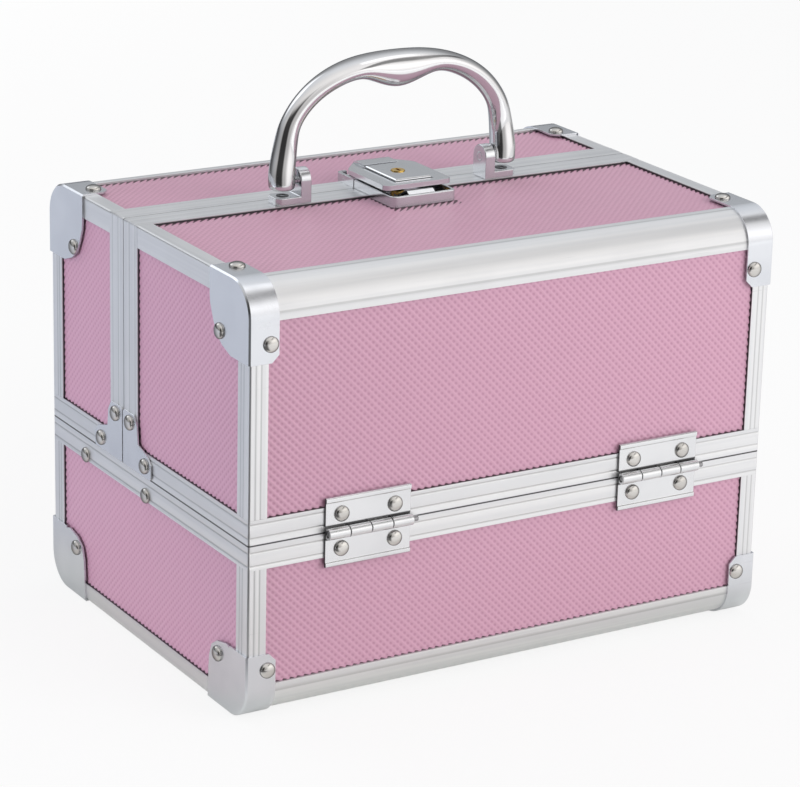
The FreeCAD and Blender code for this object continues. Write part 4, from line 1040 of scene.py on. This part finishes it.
def knuckle(x0, length):
    """A rolled barrel whose ends are hollowed round the pin."""
    barrel = on_pin_line("knuckle", x0, length, KNUCKLE, 28)
    edit(barrel)
    pick("FACE", lambda face: abs(face.normal.x) > 0.9)
    bpy.ops.mesh.inset(thickness=0.95 * MM, use_individual=True)
    for side in (-1, 1):
        pick("FACE", lambda face: face.normal.x * side > 0.9 and len(face.verts) > 20)
        extruded(-side * 0.5 * MM, 0, 0)
    done()
    return barrel


print("leaf tools ready")


# %% Leaves with knuckles and pin
def leaf(name, up, first):
    """A whole leaf: plate, two knuckles and the webs that roll into them."""
    parts = [leaf_plate(name, up)]
    for i in (first, first + 2):
        x0 = HINGE_START + i * PITCH_X + 0.15
        parts.append(knuckle(x0, PITCH_X - 0.45))
        z = sorted((PARTING + up * 0.6, PARTING + up * 3.0))
        parts.append(slab("web", (x0, -HALF_Y - 0.95, z[0]),
                          (x0 + PITCH_X - 0.3, -HALF_Y - 0.05, z[1])))
    for part in parts:
        rounded(part, 0.16, 2, 35.0)
    return joined(parts, name)


def hinge_pin():
    """Pin that stands out of the last knuckle, with a rounded end."""
    pin = on_pin_line("hinge_pin", HINGE_START + 0.4, HINGE_WIDTH + 2.0, 1.2, 20)
    rounded(pin, 0.45, 3, 40.0)
    return pin


ACROSS = Matrix.Translation((-2 * HINGE_X * MM, 0, 0))
lid_leaf = leaf("lid_leaf", 1, 1)
base_leaf = joined([leaf("base_leaf", -1, 0), hinge_pin()], "base_leaf")
front_pair = joined([copied(lid_leaf, "a"), copied(lid_leaf, "b", ACROSS)], "mirror_lid_leaves")
rear_pair = copied(front_pair, "tray_lid_leaves", MIRROR_Y)
base_pair = joined([copied(base_leaf, "a"), copied(base_leaf, "b", ACROSS)], "base_leaves_front")
base_set = joined([base_pair, copied(base_pair, "c", MIRROR_Y)], "base_leaves")
bpy.data.objects.remove(lid_leaf)
bpy.data.objects.remove(base_leaf)
fitted(front_pair, "mirror_lid", hinge_metal, "pressed_steel", "mirror_lid_hinge_leaves")
fitted(rear_pair, "tray_lid", hinge_metal, "pressed_steel", "tray_lid_hinge_leaves")
fitted(base_set, "base", hinge_metal, "pressed_steel", "base_hinge_leaves")


# %% [markdown]
# ## The handle
# The handle is one chromed casting: two round legs with flat-cut feet, slim shoulders, and a wide
# arch with a finger swell in the middle.  A ring of corners starts in the right leg's foot.  It is
# extruded station by station along the arch; at each station the ring is turned upright again,
# scaled to the next thickness and depth, and turned to face along the arch.  A subdivision surface
# then takes the facets out; it shrinks the ring a little, and SHRINK makes that good.

# %% Stations along the arch
ARCH_HALF, ARCH_RISE, ARCH_POWER = 58.0, 49.3, 2.38
FOOT, SLIM, SWELL, DEEP = 5.4, 4.15, 3.9, 7.9
SWELL_REACH, TAPER_TOP, TAPER = 22.0, 28.0, 18.0
SHRINK, STEPS = 0.962, 26


def thickness(x, z):
    """Half thickness: a swell in the middle, slim shoulders, and legs that widen downwards."""
    if abs(x) < SWELL_REACH:
        return SLIM + SWELL * math.cos(QUARTER * abs(x) / SWELL_REACH) ** 2
    share = min(1.0, max(0.0, (TAPER_TOP - z) / TAPER))
    return SLIM + (FOOT - SLIM) * share * share * (3 - 2 * share)


def station(turned):
    """Centre, lean, half thickness and half depth of the arch at an angle of its outline."""
    power = 2.0 / ARCH_POWER
    c, s = math.cos(turned), math.sin(turned)
    x, z = ARCH_HALF * math.copysign(abs(c) ** power, c), ARCH_RISE * abs(s) ** power
    nx = math.copysign(abs(x / ARCH_HALF) ** (ARCH_POWER - 1), x) / ARCH_HALF
    nz = abs(z / ARCH_RISE) ** (ARCH_POWER - 1) / ARCH_RISE
    size = math.hypot(nx, nz)
    half = thickness(x, z)
    depth = half + max(0.0, DEEP - half) * (z / ARCH_RISE) ** 6
    centre = Vector((x - nx / size * half, HANDLE_Y, PIVOT_Z + z - nz / size * half)) * MM
    return centre, math.atan2(nz, nx), half, depth


def leg_stations():
    """The flat-cut foot of the right leg, from its end up to the arch."""
    rows = []
    for z, share in ((-0.62, 0.5), (-0.6, 0.84), (-0.46, 0.98), (-0.15, 1.0), (0.4, 1.0),
                     (0.95, 1.0)):
        centre = Vector((ARCH_HALF - FOOT, HANDLE_Y, PIVOT_Z + z * FOOT)) * MM
        rows.append((centre, 0.0, FOOT * share, FOOT * share))
    return rows


right = leg_stations()
left = [(Vector((-c.x, c.y, c.z)), math.pi, half, deep) for c, lean, half, deep in reversed(right)]
stations = right + [station(math.pi * i / STEPS) for i in range(3, STEPS - 2)] + left
print("stations:", len(stations))


# %% Extruding the arch
bpy.ops.mesh.primitive_circle_add(vertices=16, radius=1.0 * MM, fill_type="NGON",
                                  location=stations[0][0])
arch = newest("handle_arch")
settled(arch)
edit(arch)
whole()
previous = (stations[0][0], 0.0, 1.0, 1.0)
for number, (centre, lean, half, depth) in enumerate(stations):
    was, was_lean, was_half, was_depth = previous
    if number:
        extruded(*(centre - was))
    bpy.ops.transform.rotate(value=-was_lean, orient_axis="Y", center_override=centre)
    grow = (half / SHRINK / was_half, depth / SHRINK / was_depth, 1.0)
    bpy.ops.transform.resize(value=grow, center_override=centre)
    bpy.ops.transform.rotate(value=lean, orient_axis="Y", center_override=centre)
    previous = (centre, lean, half / SHRINK, depth / SHRINK)
done()
facing_out(arch)
applied(arch, "SUBSURF", levels=2, render_levels=2)
smoothed(arch, 60.0)
fitted(arch, "carry_handle", chrome, "chrome", "handle")


# %% [markdown]
# ## Brackets, latch and lock
# The brackets and the latch are die-cast and plated, so their edges are rounder than a profile's.
# Softened copies keep their shapes.  The lock barrel is the one yellow piece, a short brass
# cylinder with a keyway.  Each bracket's foot holds a blackened screw, low enough for the folded
# handle to pass over it.

# %% Cast pieces
softened("handle_brackets", "mirror_lid", latch_metal, "pressed_steel", 0.35, 3)
softened("handle_pins", "mirror_lid", latch_metal, "pressed_steel", 0.2, 2, 40.0)
softened("latch_frame", "mirror_lid", latch_metal, "latch_metal", 0.42, 3)
softened("latch_pan", "tray_lid", latch_metal, "latch_metal", 0.42, 3)
softened("latch_flap", "flap", flap_metal, "latch_metal", 0.4, 3)
softened("key_plate", "flap", flap_metal, "latch_metal", 0.12)
softened("latch_spring", "mirror_lid", small_steel, "latch_metal", 0.12)
softened("latch_pin", "tray_lid", small_steel, "latch_metal", 0.2, 2, 40.0)
softened("key_barrel", "key", brass, "brass", 0.18)


# %% Bracket screws
SCREW_X, SCREW_Z = 52.25, 179.1


def bracket_screw(x):
    """Countersunk head with a drive recess."""
    spot = (x * MM, HANDLE_Y * MM, SCREW_Z * MM)
    bpy.ops.mesh.primitive_cylinder_add(vertices=24, radius=2.6 * MM, depth=0.6 * MM, location=spot)
    head = newest("bracket_screw")
    settled(head)
    edit(head)
    pick("FACE", lambda face: face.normal.z > 0.9)
    bpy.ops.mesh.inset(thickness=0.5 * MM)
    bpy.ops.transform.translate(value=(0, 0, 0.05 * MM))
    bpy.ops.mesh.inset(thickness=0.9 * MM)
    extruded(0, 0, -0.35 * MM)
    done()
    rounded(head, 0.08)
    return head


screws = joined([bracket_screw(-SCREW_X), bracket_screw(SCREW_X)], "bracket_screws")
fitted(screws, "mirror_lid", blackened, "pressed_steel")


# %% [markdown]
# ## Inside the case
# The lining, the trays with their arms and links, and the mirror with its clips show when the lids
# open.  Sheet parts and moulded trays get softened copies; the lining keeps its own solids.

# %% Lining, trays, arms and mirror
for body in (*LIDS, "base"):
    faced(nodes[body + "_lining"], lining)
softened("lower_tray", "lower_tray_body", tray_black, "tray_plastic", 0.5, 3)
softened("upper_tray", "upper_tray_body", tray_black, "tray_plastic", 0.5, 3)
softened("front_tray_arms", "front_arms", arm_steel, "latch_metal", 0.2)
softened("rear_tray_arms", "rear_arms", arm_steel, "latch_metal", 0.2)
softened("lid_links", "links", arm_steel, "latch_metal", 0.2)
softened("link_brackets", "tray_lid", arm_steel, "latch_metal", 0.15)
softened("arm_pivot_studs", "base", arm_steel, "latch_metal", 0.15, 2, 40.0)
softened("mirror", "mirror_lid", mirror_glass, "mirror_glass", 0.4, 3)
softened("mirror_clips", "mirror_lid", small_steel, "latch_metal", 0.15)
faced(nodes["mirror_backing"], card)
